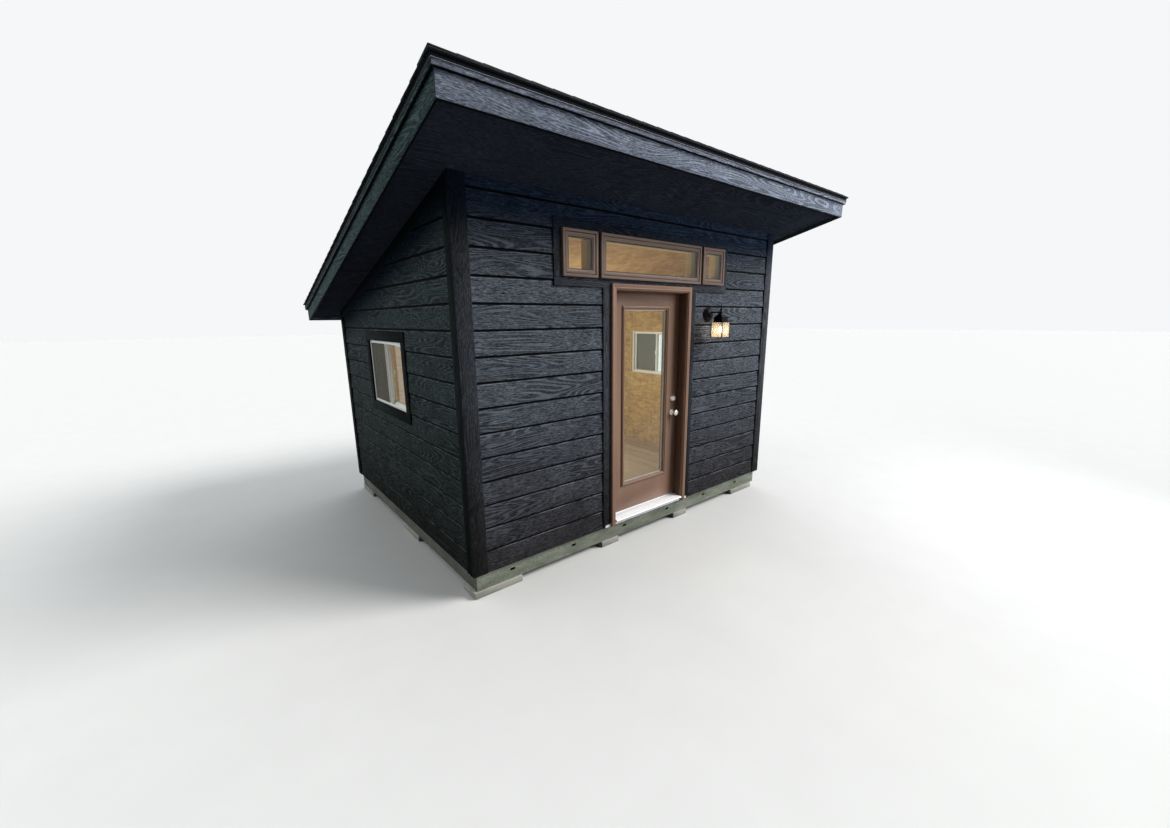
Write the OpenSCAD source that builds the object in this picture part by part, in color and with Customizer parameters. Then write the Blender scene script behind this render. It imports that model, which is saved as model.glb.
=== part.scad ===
// Garden office pod: a small timber-framed building with one sloping roof, a glazed
// door under a row of three transom windows, lap siding and a steel floor frame on blocks.
// Millimetres. X runs to the right along the front, Y to the back, Z up from level ground.
// The origin is under the middle of the whole building, roof overhangs included.

/* [Plan] */
// Width over the wall framing
frame_w = 3658; // [3400:2:4200]
// Depth over the wall framing
frame_d = 3048; // [2700:2:3600]
// Roof overhang in front of the corner boards
front_overhang = 571; // [400:1:750]
// Roof overhang behind the corner boards
back_overhang = 240; // [180:1:400]
// Roof overhang at each side of the corner boards
side_overhang = 280; // [200:1:400]

/* [Heights] */
// Height of a foundation block
block_h = 50; // [40:1:120]
// Height of the steel floor frame
rim_h = 152; // [140:1:200]
// Thickness of the floor deck
deck_t = 18; // [15:1:25]
// How far the siding hangs below the floor surface
siding_drop = 32; // [25:1:50]
// Space between the transom windows and the soffit, at the front of the trim
head_space = 239; // [120:1:400]
// Rise of the roof for each unit of depth
roof_slope = 0.25; // [0.2:0.01:0.27]

/* [Wall layers] */
// Depth of the wall studs
stud_t = 89; // [80:1:120]
// Thickness of the sheathing
sheath_t = 11; // [9:1:15]
// Thickness of every trim board
trim_t = 25; // [20:1:30]
// Depth of the lap siding from its back to the butt of a board
lap_t = 18; // [14:1:20]
// Width of a front-facing corner board
corner_w = 117; // [90:1:140]
// Width of a side-facing corner board
corner_side_w = 76; // [60:1:100]
// Height of the frieze boards under the side eaves
frieze_h = 78; // [60:1:110]

/* [Roof edge] */
// Thickness of a fascia board
fascia_t = 19; // [17:1:30]
// Height of a fascia board
fascia_h = 154; // [130:1:180]
// How far the fascia hangs below the soffit
fascia_drop = 30; // [15:1:40]
// Height of the narrow trim board over the fascia
upper_trim_h = 50; // [40:1:70]
// Thickness of the soffit and ceiling panels
panel_t = 11; // [9:1:15]
// Thickness of the roof deck
roof_deck_t = 15; // [12:1:19]
// Thickness of the shingle covering
shingle_t = 20; // [14:1:26]
// How far the shingles reach past the upper trim
shingle_reach = 15; // [10:1:25]

/* [Entry door] */
// Sideways place of the door and the transom row
door_x = -38; // [-200:1:200]
// Width of the door leaf
leaf_w = 906; // [800:1:930]
// Height of the door leaf
leaf_h = 1974; // [1920:1:1980]
// Thickness of the door leaf
leaf_t = 44; // [40:1:50]
// Clearance around the door leaf
leaf_gap = 5; // [5:0.5:8]
// Thickness of the jamb beside the leaf
jamb_t = 19; // [16:1:25]
// Depth of the stop that the leaf closes against
stop_t = 13; // [10:1:16]
// Width of the moulding around the door frame
mould_w = 51; // [40:1:60]
// Width of the flat trim beside the moulding
door_trim_w = 82; // [60:1:100]
// Width of the glazing frame on the leaf
lite_w = 600; // [500:1:640]
// Height of the glazing frame on the leaf
lite_h = 1620; // [1400:1:1660]
// Height of the knob above the floor
knob_h = 880; // [850:1:1000]

/* [Transom windows] */
// Side of a small square transom window
transom_h = 335; // [300:1:380]
// Width of the long transom window
transom_w = 1240; // [1100:1:1300]
// Space between two transom windows
transom_gap = 32; // [20:1:60]
// Height of the rail between the door frame and the transom windows
lintel_h = 58; // [50:1:120]
// Width of the trim around the transom row
transom_trim_w = 70; // [60:1:80]

/* [Side windows] */
// Width of a side window
window_w = 926; // [700:1:1200]
// Height of a side window
window_h = 595; // [500:1:700]
// Height of a side window's middle above the ground
window_z = 1525; // [1450:1:1580]
// How far a side window's middle lies behind the middle of the walls
window_shift = 40; // [-150:1:150]
// Width of the trim around a side window
window_trim_w = 89; // [60:1:100]
// How far a side window's frame stands back behind the face of its trim
window_recess = 14; // [4:1:24]

/* [Lantern] */
// Sideways place of the lantern
lantern_x = 755; // [680:1:1200]
// Height of the top of the door frame over the lantern's wall plate
lantern_drop = 223; // [180:1:350]
// Width of the square lantern body
lantern_w = 128; // [110:1:150]
// Height of the glazed part of the lantern
lantern_h = 143; // [120:1:170]
// Distance from the wall to the lantern's middle
lantern_reach = 150; // [125:1:170]

/* [Hidden] */
$fn = 48;
hair = 0.3;
outer_w = frame_w + 2 * (sheath_t + trim_t);
outer_d = frame_d + 2 * (sheath_t + trim_t);
half_w = outer_w / 2;
mid_y = (front_overhang - back_overhang) / 2;
front_y = mid_y - outer_d / 2;
back_y = mid_y + outer_d / 2;
sheath_x = frame_w / 2 + sheath_t;
stud_x = frame_w / 2;
room_x = stud_x - stud_t;
sheath_y = front_y + trim_t;
stud_y = sheath_y + sheath_t;
room_y = stud_y + stud_t;
back_sheath_y = back_y - trim_t;
back_stud_y = back_sheath_y - sheath_t;
back_room_y = back_stud_y - stud_t;

rim_top = block_h + rim_h;
floor_z = rim_top + deck_t;
siding_z = floor_z - siding_drop;

rafter_o = panel_t;
deck_o = fascia_h - fascia_drop;
cover_o = deck_o + roof_deck_t;
edge_x = half_w + side_overhang;
edge_front_y = front_y - front_overhang;
edge_back_y = back_y + back_overhang;

sill_t = 30;
leaf_z = floor_z + sill_t + leaf_gap;
door_half = leaf_w / 2 + leaf_gap + jamb_t;
stop_half = door_half - jamb_t - stop_t;
door_top = leaf_z + leaf_h + leaf_gap + jamb_t;
stop_top = door_top - jamb_t - stop_t;
leaf_y = room_y - leaf_t;
mould_lap = 26;
mould_half = door_half - mould_lap + mould_w;
mould_top = door_top - mould_lap + mould_w;
mould_t = 32;
mould_proud = 23;
door_trim_half = mould_half + door_trim_w;

transom_low = door_top + lintel_h;
transom_top = transom_low + transom_h;
transom_row_w = transom_w + 2 * transom_h + 2 * transom_gap;
transom_trim_half = transom_row_w / 2 + transom_trim_w;
transom_trim_low = transom_low - transom_trim_w;
transom_trim_top = transom_top + transom_trim_w;
soffit_h = transom_top + head_space;
TRANSOMS = [
    [door_x - transom_w / 2 - transom_gap - transom_h, transom_h],
    [door_x - transom_w / 2, transom_w],
    [door_x + transom_w / 2 + transom_gap, transom_h]
];

pin_r = 4;
knuckle_r = 6.5;
pin_x = door_x - leaf_w / 2 - leaf_gap / 2;
pin_y = room_y + 7;
hinge_h = 102;
HINGE_Z = [leaf_z + 230, leaf_z + leaf_h / 2, leaf_z + leaf_h - 180];

// Height of the soffit plane at a given depth
function roof_z(y) = soffit_h - roof_slope * (y - front_y);

// Basic solids

// A box between two opposite corners
module box(low, high) {
    translate(low) cube([high[0] - low[0], high[1] - low[1], high[2] - low[2]]);
}

// A profile drawn as [depth, height] and run from x0 to x1
module along_x(x0, x1) {
    translate([x0, 0, 0]) rotate([90, 0, 90]) linear_extrude(x1 - x0) children();
}

// A slab with a level foot, whose top follows the roof at a height over the soffit plane
module to_roof(x0, x1, y0, y1, z0, over) {
    along_x(x0, x1)
        polygon([[y0, z0], [y1, z0], [y1, roof_z(y1) + over], [y0, roof_z(y0) + over]]);
}

// A sheet that follows the roof between two heights over the soffit plane
module roof_sheet(x0, x1, y0, y1, low, high) {
    along_x(x0, x1) polygon([
        [y0, roof_z(y0) + low], [y1, roof_z(y1) + low],
        [y1, roof_z(y1) + high], [y0, roof_z(y0) + high]
    ]);
}

// Four boards around the roof's edge, mitred at the corners with hairline joints
module roof_edge(reach, thick, low, high) {
    x = edge_x + reach;
    y0 = edge_front_y - reach;
    y1 = edge_back_y + reach;
    ix = x - thick;
    iy0 = y0 + thick;
    iy1 = y1 - thick;
    plans = [
        [[-x + hair, y0], [x - hair, y0], [ix - hair, iy0], [-ix + hair, iy0]],
        [[-ix + hair, iy1], [ix - hair, iy1], [x - hair, y1], [-x + hair, y1]],
        [[-x, y0 + hair], [-ix, iy0 + hair], [-ix, iy1 - hair], [-x, y1 - hair]],
        [[ix, iy0 + hair], [x, y0 + hair], [x, y1 - hair], [ix, iy1 - hair]]
    ];
    for (plan = plans) {
        intersection() {
            roof_sheet(-x, x, y0, y1, low, high);
            linear_extrude(soffit_h * 2) polygon(plan);
        }
    }
}

// A flat rectangular ring in the XZ plane, from depth y0 to y1, drawn inwards from its outside
module ring_xz(x0, x1, z0, z1, width, y0, y1) {
    difference() {
        box([x0, y0, z0], [x1, y1, z1]);
        box([x0 + width, y0 - 1, z0 + width], [x1 - width, y1 + 1, z1 - width]);
    }
}

// A flat rectangular ring in the YZ plane, from x0 to x1
module ring_yz(y0, y1, z0, z1, width, x0, x1) {
    difference() {
        box([x0, y0, z0], [x1, y1, z1]);
        box([x0 - 1, y0 + width, z0 + width], [x1 + 1, y1 - width, z1 - width]);
    }
}

// Copies its children onto the other side wall
module both_sides() {
    children();
    mirror([1, 0, 0]) children();
}

// Floor

block_l = 406;
block_w = 203;
BLOCKS_FRONT = [[-1651, true], [-520, false], [450, false], [1560, true]];
BLOCKS_INNER = [-0.95, -0.345, 0.305, 0.95];

// Concrete pad blocks in three rows, solid and apart from each other
module foundation_blocks() {
    color("lightgray") {
        for (b = BLOCKS_FRONT) {
            w = b[1] ? block_l : block_w;
            d = b[1] ? block_w : block_l;
            translate([b[0] - w / 2, stud_y - 15, 0]) cube([w, d, block_h]);
        }
        for (row = [0.45, 0.93], s = BLOCKS_INNER) {
            shim = row < 0.5 && abs(s) < 0.5 ? rim_t + hair : 0;
            translate([s * stud_x - block_w / 2, stud_y + row * frame_d - block_l / 2, 0])
                cube([block_w, block_l, block_h + shim]);
        }
    }
}

rim_t = 2;
rim_flange = 41;
slot_l = 46;
slot_w = 20;
slot_pitch = 595;
slot_first = -1524;
rim_end = stud_x - rim_t - hair;

// Channel profile as [depth, height], its web at depth 0 and its flanges to positive depth
module channel_profile() {
    difference() {
        square([rim_flange, rim_h]);
        translate([rim_t, rim_t]) square([rim_flange, rim_h - 2 * rim_t]);
    }
}

// An oval hole through the web of a channel that runs along X
module web_slot(x, y) {
    translate([x, y, block_h + rim_h / 2]) rotate([90, 0, 0]) linear_extrude(20, center = true) {
        for (s = [-1, 1]) translate([s * (slot_l - slot_w) / 2, 0]) circle(d = slot_w);
        square([slot_l - slot_w, slot_w], center = true);
    }
}

// Front channel with six oval holes at the joist spacing
module rim_front() {
    color("silver") difference() {
        translate([0, stud_y, block_h]) along_x(-rim_end, rim_end) channel_profile();
        for (i = [0:5]) web_slot(slot_first + i * slot_pitch, stud_y);
    }
}

// Back channel, facing the other way
module rim_back() {
    color("silver") difference() {
        translate([0, back_stud_y, block_h]) mirror([0, 1, 0])
            along_x(-rim_end, rim_end) channel_profile();
        for (i = [0:5]) web_slot(slot_first + i * slot_pitch, back_stud_y);
    }
}

// Left channel: its web covers the ends of the front and back ones, its flanges stop short
module rim_left() {
    inset = rim_flange + hair;
    color("silver") {
        translate([-stud_x, stud_y + inset, block_h]) rotate([90, 0, 180]) mirror([1, 0, 0])
            linear_extrude(frame_d - 2 * inset) channel_profile();
        box([-stud_x, stud_y, block_h], [-stud_x + rim_t, back_stud_y, rim_top]);
    }
}

// Right channel
module rim_right() {
    mirror([1, 0, 0]) rim_left();
}

joist_n = 5;

// Steel joists between the front and back channels, held between their flanges
module floor_joists() {
    low = block_h + rim_t + hair;
    high = rim_top - rim_t - hair;
    len_y = frame_d - 2 * rim_t - 2 * hair;
    color("silver") for (i = [0:joist_n - 1]) {
        x = slot_first + (i + 0.5) * slot_pitch;
        translate([x, stud_y + rim_t + hair, low]) difference() {
            cube([rim_flange, len_y, high - low]);
            translate([rim_t, -1, rim_t]) cube([rim_flange, len_y + 2, high - low - 2 * rim_t]);
        }
    }
}

// Wooden floor deck over the whole frame
module floor_deck() {
    color("burlywood") box([-stud_x, stud_y, rim_top], [stud_x, back_stud_y, floor_z]);
}

// Walls

// Front wall material between two x values, up to a level top
module front_wall_piece(x0, x1, sheath_x0, sheath_x1) {
    box([x0, stud_y, floor_z], [x1, room_y, door_top]);
    box([sheath_x0, sheath_y, siding_z + 2], [sheath_x1, stud_y, door_top]);
}

// Front wall to the left of the doorway
module front_wall_left() {
    end = door_x - door_half - hair;
    color("wheat") front_wall_piece(-stud_x, end, -sheath_x, end);
}

// Front wall to the right of the doorway
module front_wall_right() {
    start = door_x + door_half + hair;
    color("wheat") front_wall_piece(start, stud_x, start, sheath_x);
}

// Front wall over the doorway, with three transom openings cut through
module front_wall_top() {
    color("wheat") difference() {
        union() {
            to_roof(-stud_x, stud_x, stud_y, room_y, door_top + hair, rafter_o);
            to_roof(-sheath_x, sheath_x, sheath_y, stud_y, door_top + hair, -hair);
        }
        for (t = TRANSOMS) {
            box([t[0] - hair, front_y - 50, transom_low - hair],
                [t[0] + t[1] + hair, room_y + 50, transom_top + hair]);
        }
    }
}

// Back wall, plain
module back_wall() {
    color("wheat") {
        to_roof(-stud_x, stud_x, back_room_y, back_stud_y, floor_z, rafter_o);
        to_roof(-sheath_x, sheath_x, back_stud_y, back_sheath_y, siding_z + 2, -hair);
    }
}

// Left wall with its window opening
module left_wall() {
    color("wheat") difference() {
        union() {
            to_roof(-stud_x, -room_x, room_y, back_room_y, floor_z, rafter_o);
            to_roof(-sheath_x, -stud_x, stud_y, back_stud_y, siding_z + 2, -hair);
        }
        box([-half_w - 50, window_y0 - hair, window_z - window_h / 2 - hair],
            [-room_x + 50, window_y1 + hair, window_z + window_h / 2 + hair]);
    }
}

// Right wall, a mirror image of the left
module right_wall() {
    mirror([1, 0, 0]) left_wall();
}

// Siding, as the envelope of the lap boards

// Siding on the front, cut out around the door trim and the transom trim
module front_siding() {
    x = half_w - corner_w - hair;
    color("dimgray") difference() {
        to_roof(-x, x, sheath_y - lap_t, sheath_y, siding_z, -hair);
        box([door_x - door_trim_half - hair, front_y - 50, 0],
            [door_x + door_trim_half + hair, stud_y, transom_trim_low + 1]);
        box([door_x - transom_trim_half - hair, front_y - 50, transom_trim_low - hair],
            [door_x + transom_trim_half + hair, stud_y, transom_trim_top + hair]);
    }
}

// Siding on the back
module back_siding() {
    x = half_w - corner_w - hair;
    color("dimgray") to_roof(-x, x, back_sheath_y, back_sheath_y + lap_t, siding_z, -hair);
}

// Siding on the left, cut out around the window trim
module left_siding() {
    reach = window_trim_w + hair;
    color("dimgray") difference() {
        to_roof(-sheath_x - lap_t, -sheath_x,
                sheath_y + corner_side_w + hair, back_sheath_y - corner_side_w - hair,
                siding_z, -frieze_h - hair);
        box([-half_w - 50, window_y0 - reach, window_z - window_h / 2 - reach],
            [-stud_x, window_y1 + reach, window_z + window_h / 2 + reach]);
    }
}

// Siding on the right
module right_siding() {
    mirror([1, 0, 0]) left_siding();
}

// Outside trim

// Two boards at each corner: the front and back ones lap the edges of the side ones
module corner_boards() {
    color("dimgray") both_sides() {
        to_roof(-half_w, -half_w + corner_w, front_y, sheath_y, siding_z, -hair);
        to_roof(-half_w, -sheath_x, sheath_y + hair, sheath_y + corner_side_w,
                siding_z, -hair);
        to_roof(-half_w, -half_w + corner_w, back_sheath_y, back_y, siding_z, -hair);
        to_roof(-half_w, -sheath_x, back_sheath_y - corner_side_w, back_sheath_y - hair,
                siding_z, -hair);
    }
}

// Sloping boards under the side eaves
module frieze_boards() {
    color("dimgray") both_sides()
        roof_sheet(-half_w, -sheath_x, sheath_y + corner_side_w + hair,
                   back_sheath_y - corner_side_w - hair, -frieze_h, -hair);
}

// Boards around and between the three transom windows
module transom_trim() {
    x0 = door_x - transom_row_w / 2;
    x1 = door_x + transom_row_w / 2;
    w = transom_trim_w;
    color("dimgray") {
        box([x0 - w, front_y, transom_top + hair], [x1 + w, sheath_y, transom_trim_top]);
        difference() {
            box([x0 - w, front_y, transom_trim_low], [x1 + w, sheath_y, transom_low - hair]);
            box([door_x - mould_half - hair, front_y - 1, transom_trim_low - 1],
                [door_x + mould_half + hair, sheath_y + 1, mould_top + hair]);
        }
        box([x0 - w, front_y, transom_low], [x0 - hair, sheath_y, transom_top]);
        box([x1 + hair, front_y, transom_low], [x1 + w, sheath_y, transom_top]);
        for (s = [-1, 1]) {
            x = door_x + s * (transom_w + transom_gap) / 2;
            g = transom_gap / 2 - hair;
            box([x - g, front_y, transom_low], [x + g, sheath_y, transom_top]);
        }
    }
}

// Boards beside the door moulding, and the board under the threshold
module door_trim() {
    color("dimgray") {
        for (s = [-1, 1]) {
            a = door_x + s * (mould_half + hair);
            b = door_x + s * door_trim_half;
            box([min(a, b), front_y, siding_z], [max(a, b), sheath_y, transom_trim_low - hair]);
        }
        box([door_x - stop_half - 5, front_y + 4, siding_z],
            [door_x + stop_half + 5, sheath_y, floor_z - hair]);
    }
}

window_y = mid_y + window_shift;
window_y0 = window_y - window_w / 2;
window_y1 = window_y + window_w / 2;

// Boards around each side window: head and sill boards full width, side boards between
module window_trim() {
    w = window_trim_w;
    z0 = window_z - window_h / 2;
    z1 = window_z + window_h / 2;
    color("dimgray") both_sides() {
        box([-half_w, window_y0 - w, z1 + hair], [-sheath_x, window_y1 + w, z1 + w]);
        box([-half_w, window_y0 - w, z0 - w], [-sheath_x, window_y1 + w, z0 - hair]);
        box([-half_w, window_y0 - w, z0], [-sheath_x, window_y0 - hair, z1]);
        box([-half_w, window_y1 + hair, z0], [-sheath_x, window_y1 + w, z1]);
    }
}

// Transom windows

transom_proud = 22;
transom_glass_y = front_y - 10;
transom_groove = 6;
transom_inset = 52;
transom_bite = 4;

// Stepped frame of one transom window: outer rim, groove, sash and glazing bead
module transom_frame(x0, x1) {
    rim = 20;
    sash = rim - 1 + transom_groove;
    bead = transom_inset - 10;
    ring_xz(x0, x1, transom_low, transom_top, rim, front_y - transom_proud, room_y);
    ring_xz(x0 + rim - 1, x1 - rim + 1, transom_low + rim - 1, transom_top - rim + 1,
        transom_groove + 2, front_y - 6, room_y);
    ring_xz(x0 + sash, x1 - sash, transom_low + sash, transom_top - sash,
        bead - sash + 1, front_y - 17, room_y);
    ring_xz(x0 + bead, x1 - bead, transom_low + bead, transom_top - bead,
        transom_inset - bead, front_y - 14, room_y);
}

// The three frames, apart from each other
module transom_frames() {
    g = transom_inset - transom_bite;
    color("rosybrown") for (t = TRANSOMS) difference() {
        transom_frame(t[0], t[0] + t[1]);
        box([t[0] + g, transom_glass_y - 0.2, transom_low + g],
            [t[0] + t[1] - g, transom_glass_y + 18.2, transom_top - g]);
    }
}

// The three panes
module transom_glass() {
    g = transom_inset - transom_bite + 0.2;
    color([0.75, 0.85, 0.88, 0.35]) for (t = TRANSOMS)
        box([t[0] + g, transom_glass_y, transom_low + g],
            [t[0] + t[1] - g, transom_glass_y + 18, transom_top - g]);
}

// Side windows

frame_face = 24;
frame_wall = 14;
frame_depth = 80;
frame_out_x = -half_w + window_recess;
sash_face = 20;
sash_t = 22;
sash_edge = frame_wall + hair;
pane_t = 6;
pane_bite = 6;
// Outer faces of the fixed sash's track and of the sliding sash's track
track_x = [frame_out_x + 10, frame_out_x + 37];
// The meeting stiles' free edges
fixed_y = window_y - 12;
slide_y = window_y + 22;

// White frame of each slider: a box frame with three fins that leave a track for each sash
module window_frames() {
    z0 = window_z - window_h / 2;
    z1 = window_z + window_h / 2;
    fin = frame_wall - 2;
    fins = [
        [frame_out_x, track_x[0]],
        [track_x[0] + sash_t + 1, track_x[1]],
        [track_x[1] + sash_t + 1, frame_out_x + frame_depth]
    ];
    color("white") both_sides() {
        ring_yz(window_y0, window_y1, z0, z1, frame_wall, frame_out_x, frame_out_x + frame_depth);
        for (f = fins)
            ring_yz(window_y0 + fin, window_y1 - fin, z0 + fin, z1 - fin,
                    frame_face - fin, f[0], f[1]);
    }
}

// Each slider's fixed sash in the outer track and its sliding sash in the inner track
module window_sashes() {
    color("white") both_sides() {
        sash(fixed_y, window_y1 - sash_edge, track_x[0] + 0.5);
        sash(window_y0 + sash_edge, slide_y, track_x[1] + 0.5);
    }
}

// One sash between two depths, grooved for its pane
module sash(y0, y1, x) {
    z0 = window_z - window_h / 2 + sash_edge;
    z1 = window_z + window_h / 2 - sash_edge;
    g = sash_face - pane_bite;
    a = x + (sash_t - pane_t) / 2 - 0.2;
    difference() {
        ring_yz(y0, y1, z0, z1, sash_face, x, x + sash_t);
        box([a, y0 + g, z0 + g], [a + pane_t + 0.4, y1 - g, z1 - g]);
    }
}

// The pane of one sash
module sash_pane(y0, y1, x) {
    g = sash_face - pane_bite + 0.2;
    z = window_h / 2 - sash_edge - g;
    a = x + (sash_t - pane_t) / 2;
    box([a, y0 + g, window_z - z], [a + pane_t, y1 - g, window_z + z]);
}

// The panes of the two sliders
module window_glass() {
    color([0.75, 0.85, 0.88, 0.35]) both_sides() {
        sash_pane(fixed_y, window_y1 - sash_edge, track_x[0] + 0.5);
        sash_pane(window_y0 + sash_edge, slide_y, track_x[1] + 0.5);
    }
}

// Entry door

mould_y = front_y - mould_proud;
frame_front_y = mould_y + mould_t;
stop_y = leaf_y - leaf_gap;

// Rebated jambs and head
module door_frame() {
    color("rosybrown") {
        for (s = [-1, 1]) translate([door_x, 0, 0]) mirror([s > 0 ? 1 : 0, 0, 0]) {
            box([-door_half, frame_front_y, floor_z], [-stop_half, stop_y, door_top]);
            box([-door_half, stop_y - 1, floor_z], [-door_half + jamb_t, room_y, door_top]);
        }
        x = stop_half - hair;
        box([door_x - x, frame_front_y, stop_top], [door_x + x, stop_y, door_top]);
        box([door_x - x, stop_y - 1, door_top - jamb_t], [door_x + x, room_y, door_top]);
    }
}

// Section of the moulding as [width from the inner edge, depth from the face]
module mould_profile() {
    difference() {
        polygon([
            [0, 12], [3, 9], [9, 9], [9, 3], [12, 0], [mould_w - 6, 0], [mould_w, 6],
            [mould_w, mould_t], [0, mould_t]
        ]);
        translate([24, -3.5]) circle(5);
        translate([mould_w, -1]) circle(5);
    }
}

// One straight length of moulding, its inner edge on the Z axis, facing -Y
module mould_length(length) {
    linear_extrude(length) mould_profile();
}

// The moulding around the door frame, mitred at the top corners
module brickmould() {
    inner = mould_half - mould_w;
    low = siding_z + 2;
    inner_top = mould_top - mould_w;
    mitre = 3 * mould_w;
    color("rosybrown") {
        for (s = [0, 1]) translate([door_x, mould_y, 0]) mirror([s, 0, 0]) difference() {
            translate([inner, 0, low]) mould_length(mould_top - low);
            translate([inner, -5, inner_top]) rotate([0, -45, 0])
                translate([-mitre, 0, -hair]) cube([2 * mitre, mould_t + 10, mitre]);
        }
        difference() {
            translate([door_x - mould_half, mould_y, inner_top]) rotate([0, 90, 0])
                mirror([1, 0, 0]) mould_length(2 * mould_half);
            for (s = [0, 1]) translate([door_x, mould_y - 5, inner_top]) mirror([s, 0, 0])
                translate([inner, 0, 0]) rotate([0, -45, 0])
                    translate([-mitre, 0, -mitre]) cube([2 * mitre, mould_t + 10, mitre]);
        }
    }
}

sill_nose = 28;

// Sloping metal sill with a raised rib under the leaf
module threshold() {
    y0 = front_y - sill_nose;
    x = stop_half - hair;
    color("gainsboro") difference() {
        along_x(door_x - x, door_x + x) polygon([
            [y0, floor_z + 4], [y0 + 3, floor_z], [room_y, floor_z],
            [room_y, floor_z + 20], [room_y - 8, floor_z + 24], [leaf_y + 34, floor_z + 24],
            [leaf_y + 30, floor_z + sill_t], [leaf_y + 8, floor_z + sill_t],
            [leaf_y + 2, floor_z + 25], [leaf_y - 30, floor_z + 23],
            [y0 + 4, floor_z + 15], [y0, floor_z + 11]
        ]);
        for (i = [0:4]) translate([door_x - x - 1, y0 + 24 + 14 * i, floor_z + 17.5 + 1.1 * i])
            rotate([0, 90, 0]) cylinder(r = 1.5, h = 2 * x + 2, $fn = 16);
    }
}

leaf_bevel = 2.5;
lite_cut_w = lite_w - 36;
lite_cut_h = lite_h - 36;
lite_z = leaf_z + leaf_h - 121 - lite_h;

// The leaf with its bevelled lock edge, its glazing opening and its lock bores
module door_leaf() {
    color("rosybrown") difference() {
        translate([door_x, leaf_y, leaf_z]) linear_extrude(leaf_h) polygon([
            [-leaf_w / 2, 0], [leaf_w / 2 - leaf_bevel, 0],
            [leaf_w / 2, leaf_t], [-leaf_w / 2, leaf_t]
        ]);
        box([door_x - lite_cut_w / 2, leaf_y - 1, lite_z + 18],
            [door_x + lite_cut_w / 2, room_y + 1, lite_z + 18 + lite_cut_h]);
        for (z = [floor_z + knob_h, floor_z + knob_h + 140])
            translate([knob_x, leaf_y - 1, z]) rotate([-90, 0, 0]) cylinder(r = 12.3, h = leaf_t + 2);
    }
}

// Moulded glazing frame on both faces of the leaf
module door_lite_frame() {
    x = lite_w / 2;
    color("rosybrown") for (side = [0, 1]) {
        y = side == 0 ? leaf_y : room_y;
        translate([door_x, y, 0]) mirror([0, side, 0]) {
            ring_xz(-x, x, lite_z, lite_z + lite_h, 20, -8, 0);
            ring_xz(-x + 8, x - 8, lite_z + 8, lite_z + lite_h - 8, 12, -13, -7.9);
            ring_xz(-x + 18.3, x - 18.3, lite_z + 18.3, lite_z + lite_h - 18.3, 14, -6, 9);
        }
    }
}

// The insulated pane
module door_glass() {
    g = 18.6;
    color([0.75, 0.85, 0.88, 0.35])
        box([door_x - lite_w / 2 + g, leaf_y + 9.3, lite_z + g],
            [door_x + lite_w / 2 - g, room_y - 9.3, lite_z + lite_h - g]);
}

knuckle_h = hinge_h / 5;
leaf_plate_t = 2.1;

// One hinge knuckle, counted from the bottom
module knuckle(z, i) {
    translate([pin_x, pin_y, z - hinge_h / 2 + i * knuckle_h + 0.2])
        cylinder(r = knuckle_r, h = knuckle_h - 0.4);
}

// Frame halves of the three hinges, each with its pin
module hinge_frame_leaves() {
    x0 = door_x - leaf_w / 2 - leaf_gap;
    plate_y = room_y - 40;
    color("silver") for (z = HINGE_Z) {
        box([x0, plate_y, z - hinge_h / 2], [x0 + leaf_plate_t, room_y - 0.4, z + hinge_h / 2]);
        for (i = [0, 2, 4]) {
            low = z - hinge_h / 2 + i * knuckle_h + 0.2;
            knuckle(z, i);
            box([x0, room_y - 2, low], [x0 + leaf_plate_t, pin_y, low + knuckle_h - 0.4]);
        }
        translate([pin_x, pin_y, z - hinge_h / 2 - 4]) cylinder(r = pin_r, h = hinge_h + 8);
    }
}

// Door halves of the three hinges, bored for the pins
module hinge_door_leaves() {
    x1 = door_x - leaf_w / 2;
    plate_y = room_y - 40;
    color("silver") for (z = HINGE_Z) difference() {
        union() {
            box([x1 - leaf_plate_t, plate_y, z - hinge_h / 2],
                [x1, room_y - 0.4, z + hinge_h / 2]);
            for (i = [1, 3]) {
                low = z - hinge_h / 2 + i * knuckle_h + 0.2;
                knuckle(z, i);
                box([x1 - leaf_plate_t, room_y - 2, low], [x1, pin_y, low + knuckle_h - 0.4]);
            }
        }
        translate([pin_x, pin_y, z - hinge_h]) cylinder(r = pin_r + 0.08, h = 2 * hinge_h);
    }
}

knob_x = door_x + leaf_w / 2 - 70;

// Rose, neck and round knob, drawn along +Z from the door face
module knob_half() {
    rotate_extrude() polygon([
        [0, 0], [33, 0], [33, 3], [29, 8], [16, 10], [11, 14], [10, 26], [13, 33],
        [21, 38], [26, 44], [27.5, 50], [26, 56], [21, 61], [13, 64], [0, 65]
    ]);
}

// Knobs on both faces with the spindle between them
module door_knob() {
    color("silver") translate([knob_x, 0, floor_z + knob_h]) {
        translate([0, leaf_y, 0]) rotate([90, 0, 0]) knob_half();
        translate([0, room_y, 0]) rotate([-90, 0, 0]) knob_half();
        translate([0, leaf_y - 1, 0]) rotate([-90, 0, 0]) cylinder(r = 12, h = leaf_t + 2);
    }
}

// Deadbolt cylinder outside and thumb turn inside
module deadbolt() {
    color("silver") translate([knob_x, 0, floor_z + knob_h + 140]) {
        translate([0, leaf_y, 0]) rotate([90, 0, 0]) difference() {
            rotate_extrude() polygon([
                [0, 0], [32, 0], [32, 4], [27, 14], [22, 24], [20, 26], [0, 26]
            ]);
            translate([-1.2, -5, 22]) cube([2.4, 10, 6]);
        }
        translate([0, room_y, 0]) rotate([-90, 0, 0]) {
            rotate_extrude() polygon([[0, 0], [32, 0], [32, 4], [28, 9], [0, 9]]);
            translate([-4, -18, 8]) cube([8, 36, 16]);
        }
        translate([0, leaf_y - 1, 0]) rotate([-90, 0, 0]) cylinder(r = 12, h = leaf_t + 2);
    }
}

// Roof

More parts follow.
